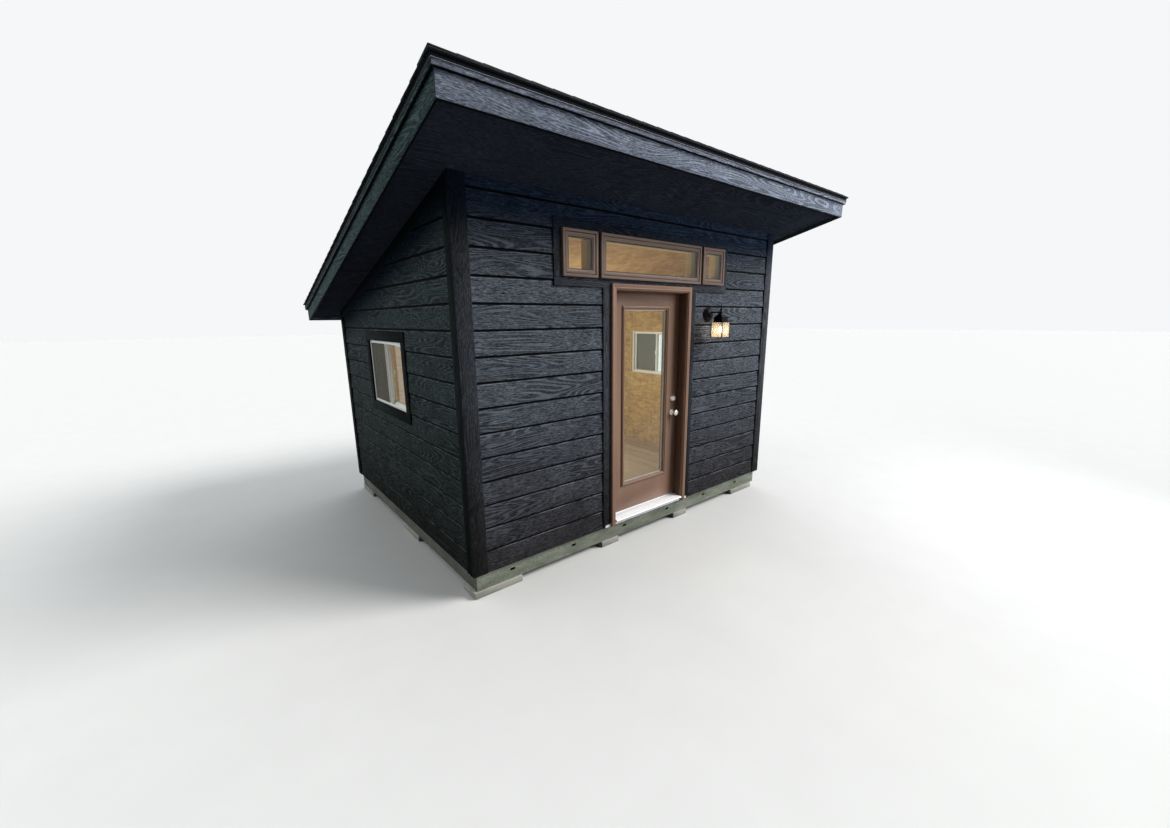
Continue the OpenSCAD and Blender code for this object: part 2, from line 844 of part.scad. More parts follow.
rafter_w = 38;
RAFTERS = [-1, -0.667, -0.333, 0, 0.333, 0.667, 1];

// Common rafters, and a fly rafter with short lookouts under each side overhang
module rafters() {
    low = rafter_o + hair;
    high = deck_o - hair;
    y0 = edge_front_y + fascia_t;
    y1 = edge_back_y - fascia_t;
    outer = edge_x - fascia_t;
    color("burlywood") {
        for (r = RAFTERS) {
            x = r * (stud_x - rafter_w / 2);
            roof_sheet(x - rafter_w / 2, x + rafter_w / 2, y0, y1, low, high);
        }
        both_sides() {
            roof_sheet(-outer, -outer + rafter_w, y0, y1, low, high);
            for (i = [0:5]) {
                y = y0 + 40 + i * (y1 - y0 - 120) / 5;
                roof_sheet(-outer + rafter_w - 1, -stud_x - hair, y, y + rafter_w, low, high);
            }
        }
    }
}

// Ceiling panel between the walls
module ceiling() {
    color("burlywood") roof_sheet(-room_x, room_x, room_y, back_room_y, 0, panel_t);
}

// Soffit panels around the walls, with hairline joints
module soffit() {
    x = edge_x - fascia_t;
    y0 = edge_front_y + fascia_t;
    y1 = edge_back_y - fascia_t;
    color("dimgray") {
        roof_sheet(-x, x, y0, stud_y - hair, 0, panel_t);
        roof_sheet(-x, x, back_stud_y + hair, y1, 0, panel_t);
        both_sides() roof_sheet(-x, -stud_x - hair, stud_y, back_stud_y, 0, panel_t);
    }
}

// Fascia boards
module fascia_boards() {
    color("dimgray") roof_edge(0, fascia_t, -fascia_drop, deck_o - hair);
}

// Narrow boards over the fascia
module upper_trim() {
    color("dimgray") roof_edge(fascia_t, fascia_t - hair, cover_o - upper_trim_h, cover_o);
}

drip_t = 1;
drip_leg = 26;
drip_lip = 5;

// Metal drip edge: a leg down over the upper trim, a lip turned out at its foot and a leg
// back under the shingles
module drip_edge() {
    lip_o = cover_o - drip_leg;
    color("dimgray") {
        roof_edge(fascia_t + drip_t, drip_t, lip_o, cover_o + drip_t);
        roof_edge(fascia_t + drip_t + drip_lip, drip_t + drip_lip, lip_o, lip_o + drip_t);
        roof_edge(fascia_t, 60, cover_o, cover_o + drip_t);
    }
}

// Roof deck
module roof_deck() {
    color("burlywood") roof_sheet(-edge_x, edge_x, edge_front_y, edge_back_y, deck_o, cover_o);
}

// Shingle covering as one sheet
module roof_covering() {
    reach = fascia_t + shingle_reach;
    color("darkslategray") roof_sheet(-edge_x - reach, edge_x + reach, edge_front_y - reach,
                                      edge_back_y + reach, cover_o + drip_t, cover_o + shingle_t);
}

// Wall lantern

lantern_z = door_top - lantern_drop;
lantern_wall_y = front_y + trim_t - lap_t;
lamp_y = lantern_wall_y - lantern_reach;
arm_r = 7;
arm_z = lantern_z + 23;
plate_r = 72;
foot_r = 18;
foot_h = 4;
lamp_top = arm_z - 5;
cap_h = 87;
eave_z = lamp_top - foot_h - cap_h;
lamp_low = eave_z - lantern_h;
tray_t = 5;
post = 6;
pane_inset = 2.5;
seeded_t = 3;

// Domed wall plate, and the arm that carries the lantern by its turned finial
module lantern_bracket() {
    r = plate_r;
    color("black") {
        translate([lantern_x, lantern_wall_y, lantern_z]) rotate([90, 0, 0]) rotate_extrude()
            polygon([
                [0, 0], [r, 0], [r, 5], [r - 5, 9], [r - 10, 10], [r - 18, 22],
                [r - 32, 32], [r - 50, 39], [0, 41]
            ]);
        translate([lantern_x, lantern_wall_y - 5, arm_z]) rotate([90, 0, 0])
            cylinder(r = arm_r, h = lantern_reach - 5);
        translate([lantern_x, lamp_y, lamp_top]) rotate_extrude() polygon([
            [0, -foot_h], [foot_r, -foot_h], [foot_r, 0], [12, 3], [9, 15], [8, 20], [9, 24],
            [12, 28], [12, 34], [8, 38], [5, 42], [4, 50], [5, 55], [5, 60], [3.5, 65],
            [3, 76], [0, 87]
        ]);
    }
}

// Outline of the stepped cap over its eave, as [half width, height]
function cap_outline(h) = [
    [h + 3, 0], [h + 3, 4], [h - 17, 5], [h - 18, 42], [h - 12, 43], [h - 12, 47],
    [h - 19, 49], [h - 31, 62], [h - 31, 66], [h - 37, 67], [foot_r - 2, cap_h - 3],
    [foot_r, cap_h - 2], [foot_r, cap_h]
];

// The cap's profile across both halves, run along one axis
module cap_profile(h) {
    side = cap_outline(h);
    n = len(side) - 1;
    linear_extrude(4 * h, center = true)
        polygon([for (p = side) p, for (i = [n:-1:0]) [-side[i][0], side[i][1]]]);
}

// Cage: tray, four posts and the stepped square cap
module lantern_cage() {
    h = lantern_w / 2;
    color("black") translate([lantern_x, lamp_y, 0]) {
        box([-h, -h, lamp_low], [h, h, lamp_low + tray_t]);
        for (x = [-h, h - post], y = [-h, h - post])
            box([x, y, lamp_low + tray_t - 1], [x + post, y + post, eave_z + 1]);
        translate([0, 0, eave_z]) intersection() {
            rotate([90, 0, 0]) cap_profile(h);
            rotate([90, 0, 90]) cap_profile(h);
        }
    }
}

// Four panes of seeded glass between the posts
module lantern_glass() {
    h = lantern_w / 2;
    o = h - pane_inset;
    i = o - seeded_t;
    p = h - post - 0.2;
    color([0.9, 0.85, 0.7, 0.4]) translate([lantern_x, lamp_y, 0]) for (turn = [0:90:270])
        rotate([0, 0, turn]) box([-p, -o, lamp_low + tray_t], [p, -i, eave_z]);
}

foundation_blocks();
rim_front();
rim_back();
rim_left();
rim_right();
floor_joists();
floor_deck();
front_wall_left();
front_wall_right();
front_wall_top();
back_wall();
left_wall();
right_wall();
front_siding();
back_siding();
left_siding();
right_siding();
corner_boards();
frieze_boards();
transom_trim();
door_trim();
window_trim();
transom_frames();
transom_glass();
window_frames();
window_sashes();
window_glass();
door_frame();
brickmould();
threshold();
door_leaf();
door_lite_frame();
door_glass();
hinge_frame_leaves();
hinge_door_leaves();
door_knob();
deadbolt();
rafters();
ceiling();
soffit();
fascia_boards();
upper_trim();
drip_edge();
roof_deck();
roof_covering();
lantern_bracket();
lantern_cage();
lantern_glass();
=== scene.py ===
"""Garden office pod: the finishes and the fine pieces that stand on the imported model.

Metres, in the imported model's frame: X along the front, Y to the back, Z up from the ground.
"""

import logging
import math
import random
from collections.abc import Callable, Iterable, Iterator, Sequence
from contextlib import contextmanager
from dataclasses import dataclass, field
from enum import Enum

import bmesh
import bpy
from mathutils import Matrix, Vector


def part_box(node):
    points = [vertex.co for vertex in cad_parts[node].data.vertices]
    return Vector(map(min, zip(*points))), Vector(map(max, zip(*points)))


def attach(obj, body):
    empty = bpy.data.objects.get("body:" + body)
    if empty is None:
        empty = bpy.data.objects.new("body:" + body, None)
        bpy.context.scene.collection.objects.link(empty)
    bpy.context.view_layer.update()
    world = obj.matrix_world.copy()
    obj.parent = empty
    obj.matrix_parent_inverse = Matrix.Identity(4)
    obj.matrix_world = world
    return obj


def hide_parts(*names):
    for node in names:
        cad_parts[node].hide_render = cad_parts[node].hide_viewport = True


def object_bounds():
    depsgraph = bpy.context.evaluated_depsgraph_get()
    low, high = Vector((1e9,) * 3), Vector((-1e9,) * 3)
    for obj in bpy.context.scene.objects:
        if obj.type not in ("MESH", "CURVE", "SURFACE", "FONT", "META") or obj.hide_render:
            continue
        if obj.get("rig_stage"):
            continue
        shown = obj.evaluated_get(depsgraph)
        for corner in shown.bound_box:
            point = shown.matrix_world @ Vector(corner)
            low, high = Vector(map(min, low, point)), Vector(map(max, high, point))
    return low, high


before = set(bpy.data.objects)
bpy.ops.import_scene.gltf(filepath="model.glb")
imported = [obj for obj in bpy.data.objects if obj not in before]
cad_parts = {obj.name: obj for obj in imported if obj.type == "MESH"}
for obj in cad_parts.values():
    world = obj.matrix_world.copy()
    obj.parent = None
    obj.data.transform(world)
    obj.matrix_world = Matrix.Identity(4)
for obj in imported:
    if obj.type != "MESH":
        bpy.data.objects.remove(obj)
CAD_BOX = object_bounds()

LOG = logging.getLogger("pod")

Piece = bpy.types.Object
Material = bpy.types.Material
Socket = bpy.types.NodeSocket
Mesh = bmesh.types.BMesh
Test = Callable[..., bool]
Place = Sequence[float]
Span = tuple[float, float]
Hole = tuple[float, float, float, float]
Colour = tuple[float, float, float]
Value = Socket | float
Tone = Socket | Colour

POD = "pod"
DOOR = "door"
# How near points are to be welded, and to be picked by a face's place; the angle in degrees
# from which an edge is rounded; a reach past the pod for cuts that go through it
WELD = 0.00005
NEAR = 0.001
SHARP = 35.0
THROUGH = 3.0
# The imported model's laps, faces of sheathing and face of the trim boards
LAP_PITCH = 0.1752
LAP_BASE = 0.188
SHEATH_FRONT_Y = -1.3695
SHEATH_BACK_Y = 1.7005
TRIM_FACE_Y = -1.3945
GLASS_IOR = 1.45
WHITE = (1.0, 1.0, 1.0)


class Grain(Enum):
    """An axis: the way a board's grain or a rod runs, or a ring is pierced."""

    ALONG_X = 0
    ALONG_Y = 1
    ALONG_Z = 2


class Side(Enum):
    """A side wall, as the sign of its X."""

    LEFT = -1
    RIGHT = 1

    def span(self, a: float, b: float) -> Span:
        """Two distances from the pod's middle as X values on this side, in order."""
        return tuple(sorted((self.value * a, self.value * b)))


class Pick(Enum):
    """What is selected in edit mode, by its place in the edit mesh."""

    VERT = "verts"
    EDGE = "edges"
    FACE = "faces"

    def facts(self, part: bmesh.types.BMVert | bmesh.types.BMEdge | bmesh.types.BMFace) -> tuple:
        """A vertex's place, an edge's two ends, or a face's middle and normal."""
        if self is Pick.FACE:
            return part.calc_center_median(), part.normal
        return (part.co,) if self is Pick.VERT else tuple(v.co for v in part.verts)


# Mesh tools


def make_active(*pieces: Piece) -> None:
    """Leaves edit mode, selects these objects alone and makes the first one active."""
    if bpy.context.object is not None and bpy.context.object.mode != "OBJECT":
        bpy.ops.object.mode_set(mode="OBJECT")
    bpy.ops.object.select_all(action="DESELECT")
    for piece in pieces:
        piece.select_set(True)
    if pieces:
        bpy.context.view_layer.objects.active = pieces[0]


def take_new(name: str) -> Piece:
    """Names the primitive that was just added and puts its place in its mesh."""
    piece = bpy.context.object
    piece.name = piece.data.name = name
    bpy.ops.object.transform_apply(location=True, rotation=True, scale=True)
    return piece


def start_box(name: str, low: Place, high: Place) -> Piece:
    """Adds a box between its lowest and its highest corner, as the start of a piece."""
    make_active()
    low_v, high_v = Vector(low), Vector(high)
    bpy.ops.mesh.primitive_cube_add(
        size=1.0, location=(low_v + high_v) / 2, scale=high_v - low_v
    )
    return take_new(name)


def start_rod(
    name: str, base: Place, radius: float, length: float, axis: Grain, sides: int = 24
) -> Piece:
    """Adds a cylinder from a base point along one axis, as the start of a piece.

    Args:
        name: The piece's name.
        base: The middle of its first end.
        radius: Its radius.
        length: Its length, towards the axis's positive end.
        axis: The axis that it runs along.
        sides: How many sides it has.

    Returns:
        The new piece.
    """
    make_active()
    quarter = math.pi / 2
    turn = (quarter * (axis is Grain.ALONG_Y), quarter * (axis is Grain.ALONG_X), 0.0)
    middle = Vector(base)
    middle[axis.value] += length / 2
    bpy.ops.mesh.primitive_cylinder_add(
        vertices=sides, radius=radius, depth=length, location=middle, rotation=turn
    )
    return take_new(name)


@contextmanager
def picking(piece: Piece, kind: Pick = Pick.VERT, test: Test | None = None) -> Iterator[Mesh]:
    """Opens a piece in edit mode with some of it selected.

    Args:
        piece: The piece to shape.
        kind: What is selected.
        test: What each selected part passes, or None for the whole piece.

    Yields:
        The edit mesh.
    """
    make_active(piece)
    bpy.ops.object.mode_set(mode="EDIT")
    bpy.ops.mesh.select_mode(type=kind.name)
    bpy.ops.mesh.select_all(action="DESELECT" if test else "SELECT")
    mesh = bmesh.from_edit_mesh(piece.data)
    if test:
        mesh.normal_update()
        for part in getattr(mesh, kind.value):
            part.select = test(*kind.facts(part))
        if kind is Pick.VERT:
            mesh.select_flush(True)
        bmesh.update_edit_mesh(piece.data)
    yield mesh
    bpy.ops.object.mode_set(mode="OBJECT")


def shift(piece: Piece, test: Test, step: Place, kind: Pick = Pick.VERT) -> None:
    """Moves what passes a test by a step."""
    with picking(piece, kind, test):
        bpy.ops.transform.translate(value=step)


def bevel_edges(piece: Piece, test: Test, offset: float, segments: int) -> None:
    """Bevels the edges whose two ends pass a test."""
    with picking(piece, Pick.EDGE, test):
        bpy.ops.mesh.bevel(offset=offset, segments=segments, affect="EDGES")


def cut_plane(piece: Piece, point: Place, normal: Place, away: bool = True) -> None:
    """Cuts a closed piece with a plane.

    Args:
        piece: The piece to cut.
        point: A point on the plane.
        normal: The plane's normal.
        away: Whether what the normal points at goes and the cut is closed.
    """
    with picking(piece):
        bpy.ops.mesh.bisect(plane_co=point, plane_no=normal, use_fill=away, clear_outer=away)


def copy_of(piece: Piece, name: str) -> Piece:
    """Copies a piece with a mesh of its own."""
    twin = piece.copy()
    twin.data = piece.data.copy()
    twin.name = twin.data.name = name
    bpy.context.scene.collection.objects.link(twin)
    return twin


def lay(stock: Piece, name: str, where: Matrix, size: Place) -> Piece:
    """Copies a stock piece, stretches the copy and puts it in its place."""
    piece = copy_of(stock, name)
    piece.data.transform(where @ Matrix.Diagonal((*size, 1.0)))
    return piece


def discard(*pieces: Piece) -> None:
    """Deletes pieces that only served as a pattern or a cutter."""
    for piece in pieces:
        bpy.data.objects.remove(piece, do_unlink=True)


def join_all(pieces: Sequence[Piece], name: str) -> Piece:
    """Joins several pieces into one with a name."""
    make_active(*pieces)
    if len(pieces) > 1:
        bpy.ops.object.join()
    joined = bpy.context.view_layer.objects.active
    joined.name = joined.data.name = name
    return joined


def apply_new_modifier(piece: Piece, kind: str, **settings: object) -> None:
    """Adds a modifier, sets it and applies it.

    Args:
        piece: The piece to change.
        kind: The modifier's type.
        **settings: Its settings by name.
    """
    make_active(piece)
    modifier = piece.modifiers.new(kind.title(), kind)
    for key, value in settings.items():
        setattr(modifier, key, value)
    bpy.ops.object.modifier_apply(modifier=modifier.name)


def cut_box(piece: Piece, low: Place, high: Place) -> None:
    """Takes a box out of a piece."""
    cutter = start_box("cutter", low, high)
    apply_new_modifier(
        piece, "BOOLEAN", operation="DIFFERENCE", object=cutter, solver="EXACT"
    )
    discard(cutter)


def start_ring(low: Place, high: Place, width: float, axis: Grain) -> Piece:
    """Models a flat rectangular frame: a box with its middle taken through.

    Args:
        low: Its lowest corner.
        high: Its highest corner.
        width: Width of its face.
        axis: The axis that it is pierced along.

    Returns:
        The new piece.
    """
    ring = start_box("ring", low, high)
    with picking(ring, Pick.FACE, lambda centre, normal: abs(normal[axis.value]) > 0.9):
        bpy.ops.mesh.inset(thickness=width, depth=0.0, use_even_offset=True)
        bpy.ops.mesh.bridge_edge_loops()
    return ring


def smooth(piece: Piece, angle: float = 40.0) -> None:
    """Shades a piece smooth across edges blunter than an angle in degrees."""
    make_active(piece)
    bpy.ops.object.shade_smooth_by_angle(angle=math.radians(angle))


def ease(piece: Piece, width: float, segments: int = 2) -> Piece:
    """Rounds the sharp edges of a piece and shades it smooth between them.

    Args:
        piece: The piece to finish.
        width: Width of the rounding.
        segments: How many facets it has.

    Returns:
        The piece.
    """
    apply_new_modifier(
        piece,
        "BEVEL",
        width=width,
        segments=segments,
        limit_method="ANGLE",
        angle_limit=math.radians(SHARP),
        harden_normals=False,
        use_clamp_overlap=True,
    )
    smooth(piece)
    return piece


def paint(piece: Piece, *materials: Material) -> None:
    """Gives a piece these materials and no other."""
    piece.data.materials.clear()
    for material in materials:
        piece.data.materials.append(material)


def eased_copy(node: str, width: float, segments: int = 2) -> Piece:
    """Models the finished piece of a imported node: the same solid with worked edges.

    Args:
        node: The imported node.
        width: Width of its rounded edges.
        segments: How many facets a rounded edge has.

    Returns:
        A new piece that stands for the node.
    """
    piece = copy_of(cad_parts[node], f"{node}_finished")
    piece.parent = None
    for key in [key for key in piece.keys() if key.startswith("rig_")]:
        del piece[key]
    with picking(piece):
        bpy.ops.mesh.remove_doubles(threshold=WELD)
        bpy.ops.mesh.dissolve_limited(angle_limit=math.radians(1.0))
    ease(piece, width, segments)
    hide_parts(node)
    return piece


def islands(mesh: Mesh) -> Iterator[tuple[list, set, Vector, Vector]]:
    """The separate solids of a mesh.

    Yields:
        The faces, the vertices and the lowest and highest corner of each solid.
    """
    left = set(mesh.faces)
    while left:
        stack = [left.pop()]
        faces = []
        while stack:
            faces.append(stack.pop())
            near = {other for edge in faces[-1].edges for other in edge.link_faces} & left
            left -= near
            stack.extend(near)
        points = {vertex for face in faces for vertex in face.verts}
        low, high = (
            Vector([end(vertex.co[i] for vertex in points) for i in range(3)])
            for end in (min, max)
        )
        yield faces, points, low, high


def solids_of(node: str) -> list[tuple[Vector, Vector]]:
    """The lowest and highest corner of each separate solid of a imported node."""
    mesh = bmesh.new()
    mesh.from_mesh(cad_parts[node].data)
    bmesh.ops.remove_doubles(mesh, verts=mesh.verts, dist=WELD)
    found = [(low, high) for _, _, low, high in islands(mesh)]
    mesh.free()
    return sorted(found, key=lambda box: tuple(box[0]))


# Finishes


class Nodes:
    """A tree of shader nodes in the making."""

    def __init__(self, tree: bpy.types.NodeTree) -> None:
        """Starts with an empty tree."""
        self.tree = tree
        self.tree.nodes.clear()

    def node(self, kind: str, inputs: dict | None = None, **settings: object) -> bpy.types.Node:
        """Adds a node.

        Args:
            kind: The node's type, without its first words.
            inputs: Values or sockets for its inputs, by name or index.
            **settings: The node's own settings.

        Returns:
            The node.
        """
        made = self.tree.nodes.new(f"ShaderNode{kind}")
        for key, value in settings.items():
            setattr(made, key, value)
        for key, value in (inputs or {}).items():
            entry = made.inputs[key]
            if isinstance(value, Socket):
                self.tree.links.new(value, entry)
            elif entry.type == "RGBA":
                entry.default_value = (*value, 1.0)
            else:
                entry.default_value = value
        return made

    def math(self, operation: str, a: Value, b: Value = 0.0, c: Value = 0.0) -> Socket:
        """The result of a Math node."""
        return self.node("Math", {0: a, 1: b, 2: c}, operation=operation).outputs[0]

    def times(self, a: Value, b: Value) -> Socket:
        """One value times another."""
        return self.math("MULTIPLY", a, b)

    def sum_of(self, a: Value, share: Value, b: Value) -> Socket:
        """A share of one value added to another."""
        return self.math("MULTIPLY_ADD", a, share, b)

    def band(self, value: Value, low: float, high: float, a: float = 0.0, b: float = 1.0) -> Socket:
        """A value stretched from one range to another and held inside it."""
        inputs = {"Value": value, "From Min": low, "From Max": high, "To Min": a, "To Max": b}
        return self.node("MapRange", inputs).outputs["Result"]

    def mix(self, share: Value, a: Tone, b: Tone, blend: str = "MIX") -> Socket:
        """Two colours mixed."""
        inputs = {0: share, 6: a, 7: b}
        return self.node("Mix", inputs, data_type="RGBA", blend_type=blend).outputs[2]

    def tinted(self, colour: Tone, tint: Tone) -> Socket:
        """A colour times another."""
        return self.mix(1.0, colour, tint, "MULTIPLY")

    def layered(self, share: Value, under: Socket, over: Socket) -> Socket:
        """Two shaders mixed."""
        return self.node("MixShader", {0: share, 1: under, 2: over}).outputs[0]

    def shown_rays(self) -> Socket:
        """One for rays that show the surroundings: camera, mirror and glass rays."""
        rays = self.node("LightPath").outputs
        share = rays["Is Camera Ray"]
        for name in ("Is Glossy Ray", "Is Transmission Ray"):
            share = self.math("MAXIMUM", share, rays[name])
        return share


class Recipe(Nodes):
    """The nodes of one material, built from its coordinates towards its shader."""

    def __init__(self, name: str) -> None:
        """Starts a named material with its output and its object coordinates."""
        self.material = bpy.data.materials.new(name)
        self.material.use_nodes = True
        super().__init__(self.material.node_tree)
        self.output = self.node("OutputMaterial")
        self.place = self.node("TexCoord").outputs["Object"]

    def axis(self, name: str) -> Socket:
        """One coordinate: X, Y or Z."""
        return self.node("SeparateXYZ", {0: self.place}).outputs[name]

    def mapped(self, scale: Place, turn: Place = (0.0, 0.0, 0.0)) -> Socket:
        """Coordinates after a Mapping node."""
        inputs = {"Vector": self.place, "Rotation": turn, "Scale": scale}
        return self.node("Mapping", inputs).outputs[0]

    def noise(
        self,
        scale: float | Place,
        detail: float = 3.0,
        rough: float = 0.55,
        w: Value = 0.0,
        twist: float = 0.0,
    ) -> Socket:
        """A 4D noise's value, about 0 to 1.

        Args:
            scale: Its scale, or one along each axis.
            detail: How many finer layers it has.
            rough: How strong the finer layers are.
            w: Its fourth coordinate.
            twist: How much it is distorted.

        Returns:
            The value.
        """
        even = isinstance(scale, float)
        inputs = {
            "Vector": self.place if even else self.mapped(scale),
            "W": w,
            "Scale": scale if even else 1.0,
            "Detail": detail,
            "Roughness": rough,
            "Distortion": twist,
        }
        return self.node("TexNoise", inputs, noise_dimensions="4D").outputs["Fac"]

    def cells(self, scale: float, vector: Socket | None = None) -> bpy.types.Node:
        """A Voronoi node over the coordinates."""
        return self.node("TexVoronoi", {"Vector": vector or self.place, "Scale": scale})

    def cell_tones(self, scale: float, vector: Socket | None = None) -> Sequence[Socket]:
        """Three random values, each even inside a cell."""
        colour = self.cells(scale, vector).outputs["Color"]
        return self.node("SeparateColor", {0: colour}).outputs

    def bump(self, height: Socket, depth: float) -> Socket:
        """A normal bumped by a height of 0 to 1."""
        return self.node("Bump", {"Height": height, "Distance": depth, "Strength": 1.0}).outputs[0]

    def shader(self, kind: str, colour: Tone, **inputs: Value) -> Socket:
        """A plain shader of a kind and colour."""
        return self.node(f"Bsdf{kind}", {"Color": colour, **inputs}).outputs[0]

    def outer_mirror(self, ior: float) -> Socket:
        """Share of light that glass mirrors on its outer faces."""
        fresnel = self.node("Fresnel", {"IOR": ior}).outputs[0]
        inside = self.node("NewGeometry").outputs["Backfacing"]
        return self.times(fresnel, self.math("SUBTRACT", 1.0, inside))

    def finish(self, shader: Socket) -> Material:
        """Joins the shader to the output and returns the material."""
        self.tree.links.new(shader, self.output.inputs["Surface"])
        return self.material

    def principled(
        self, colour: Tone, rough: Value, normal: Socket | None = None, **values: Value | Tone
    ) -> Material:
        """Closes the recipe with a Principled shader.

        Args:
            colour: Base colour.
            rough: Roughness.
            normal: A bumped normal, or None.
            **values: Other inputs, with underscores for spaces.

        Returns:
            The material.
        """
        inputs = {"Base Color": colour, "Roughness": rough}
        if normal is not None:
            inputs["Normal"] = normal
        inputs.update({key.replace("_", " "): value for key, value in values.items()})
        return self.finish(self.node("BsdfPrincipled", inputs).outputs[0])


@dataclass(frozen=True)
class PaintedBoard:
    """Dark paint over a board with an embossed cedar grain.

    Attributes:
        name: The material's name.
        grain: The way the grain runs.
        groove: Colour in the grooves, dark partly as painted shade.
        ridge: Colour on the ridges.
        painted_glint: Colour of the few ridges that shine: a painted highlight.
        lapped: Whether the grain changes from lap to lap, with a painted shadow and a painted
            highlight at each lap, and darker and browner towards the bottom.
        depth: Depth of the grain.
        rough: Roughness on the ridges.
        gloss: Strength of its shine.
        painted_shade: Whether it gets painted shade close under the roof and, where it is not
            lapped, turns darker and browner towards the ground.
        eave: What is left of its colour in the painted shade right under the roof.
    """

    name: str
    grain: Grain
    groove: Colour = (0.006, 0.007, 0.010)
    ridge: Colour = (0.166, 0.190, 0.232)
    painted_glint: Colour = (0.34, 0.37, 0.42)
    lapped: bool = False
    depth: float = 0.0013
    rough: float = 0.5
    gloss: float = 0.03
    painted_shade: bool = True
    eave: Colour = (0.22, 0.33, 0.50)

    def streaks(self, recipe: Recipe, across: float, along: float, **settings: Value) -> Socket:
        """Noise drawn out along the grain."""
        scale = [across] * 3
        scale[self.grain.value] = along
        return recipe.noise(scale, **settings)

    def relief(self, recipe: Recipe, coarse: Socket, board: Value) -> Socket:
        """Height of the grain: short marks, with the arcs of flat-sawn wood in patches.

        Args:
            recipe: The material in the making.
            coarse: The coarse marks.
            board: A value that changes from board to board.

        Returns:
            The height, about 0 to 1.
        """
        fine = self.streaks(recipe, 290.0, 20.0, detail=2.0, rough=0.6, w=board)
        figure = self.streaks(recipe, 6.5, 0.7, detail=1.6, rough=0.45, w=board, twist=0.25)
        arcs = recipe.band(recipe.math("SINE", recipe.times(figure, 190.0)), 0.0, 0.8)
        patch = recipe.band(recipe.noise((2.4,) * 3, detail=1.0, w=board), 0.44, 0.54)
        hatch = recipe.band(coarse, 0.42, 0.62)
        speckle = recipe.sum_of(hatch, 0.55, recipe.times(recipe.band(fine, 0.38, 0.62), 0.45))
        figured = recipe.sum_of(arcs, 0.44, recipe.times(speckle, 0.56))
        return recipe.sum_of(recipe.math("SUBTRACT", figured, speckle), patch, speckle)

    def darken_part(self, recipe: Recipe, colour: Socket, share: Socket, darkening: Colour) -> Socket:
        """A colour darkened by a tint over a share of it."""
        return recipe.mix(share, colour, recipe.tinted(colour, darkening))

    def build(self) -> Material:
        """Makes the material."""
        recipe = Recipe(self.name)
        height = recipe.axis("Z")
        board: Value = 0.0
        if self.lapped:
            steps = recipe.math("DIVIDE", recipe.math("SUBTRACT", height, LAP_BASE), LAP_PITCH)
            board = recipe.times(recipe.math("FLOOR", steps), 7.31)
        coarse = self.streaks(recipe, 170.0, 34.0, detail=3.0, rough=0.72, w=board)
        relief = self.relief(recipe, coarse, board)
        drift = recipe.band(recipe.noise((5.0,) * 3, detail=2.0), 0.3, 0.7)
        tint = recipe.noise((0.01,) * 3, detail=0.0, w=board)
        level = recipe.math(
            "ADD", recipe.band(tint, 0.3, 0.7, 0.82, 1.0), recipe.times(drift, 0.22)
        )
        # Painted highlight: a few coarse ridges, in patches, take the highlight colour.
        shine = recipe.times(recipe.band(coarse, 0.61, 0.67), drift)
        colour = recipe.mix(relief, self.groove, self.ridge)
        colour = recipe.mix(recipe.times(shine, 0.55), colour, self.painted_glint)
        colour = recipe.tinted(colour, level)
        if self.lapped:
            # Darker and browner towards the bottom of the wall; then the painted shadow and
            # highlight at each lap.
            share = recipe.band(recipe.sum_of(drift, 1.4, steps), 0.6, 9.0, 1.0, 0.0)
            colour = self.darken_part(recipe, colour, share, (0.34, 0.28, 0.25))
            colour = self.shade_laps(recipe, colour, steps, coarse)
        elif self.painted_shade:
            # Darker and browner towards the ground.
            share = recipe.band(recipe.sum_of(drift, 0.2, height), 0.35, 1.6, 1.0, 0.0)
            colour = self.darken_part(recipe, colour, share, (0.42, 0.36, 0.31))
        if self.painted_shade:
            # Painted shade close under the roof.
            share = recipe.band(recipe.sum_of(recipe.axis("Y"), 0.25, height), 2.13, 2.38)
            colour = self.darken_part(recipe, colour, share, self.eave)
        rough = recipe.band(relief, 0.0, 1.0, self.rough + 0.22, self.rough)
        normal = recipe.bump(relief, self.depth)
        return recipe.principled(colour, rough, normal, Specular_IOR_Level=self.gloss)

    def shade_laps(self, recipe: Recipe, colour: Socket, steps: Socket, grain: Socket) -> Socket:
        """Adds a painted shadow under each lap's butt and a painted highlight in patches below it.

        Args:
            recipe: The material in the making.
            colour: Colour of the boards.
            steps: Height in laps.
            grain: The grain, which makes both lines ragged.

        Returns:
            The new colour.
        """
        ragged = recipe.sum_of(grain, 0.045, recipe.math("FRACT", steps))
        # Patches where the painted highlight shows.
        lit_patches = recipe.band(recipe.noise((7.0,) * 3, detail=5.0), 0.44, 0.60)
        lip_highlight = recipe.times(recipe.band(ragged, 0.875, 0.912), lit_patches)
        colour = recipe.mix(recipe.times(lip_highlight, 0.45), colour, self.painted_glint)
        # Painted shadow just below the butt of the board above.
        shadow_line = recipe.band(ragged, 0.915, 0.94)
        return recipe.mix(shadow_line, colour, tuple(c * 0.25 for c in self.groove))


@dataclass(frozen=True)
class SmoothPaint:
    """Even factory paint on a door, a frame or sheet metal.

    Attributes:
        name: The material's name.
        colour: Main colour.
        shade: Colour of its darker drifts.
        rough: Roughness.
        gloss: Strength of its shine.
    """

    name: str
    colour: Colour
    shade: Colour
    rough: float = 0.4
    gloss: float = 0.5

    def build(self) -> Material:
        """Makes the material."""
        recipe = Recipe(self.name)
        drift = recipe.band(recipe.noise((2.3, 2.3, 1.1), detail=4.0), 0.3, 0.7)
        dust = recipe.band(recipe.noise(38.0, detail=5.0, rough=0.7), 0.45, 0.8)
        colour = recipe.mix(drift, self.colour, self.shade)
        pale = tuple(min(1.0, c * 1.5) for c in self.colour)
        colour = recipe.mix(recipe.times(dust, 0.16), colour, pale)
        rough = recipe.band(dust, 0.0, 1.0, self.rough, min(1.0, self.rough + 0.18))
        peel = recipe.bump(recipe.noise(420.0, detail=2.0), 0.00006)
        return recipe.principled(colour, rough, peel, Specular_IOR_Level=self.gloss)


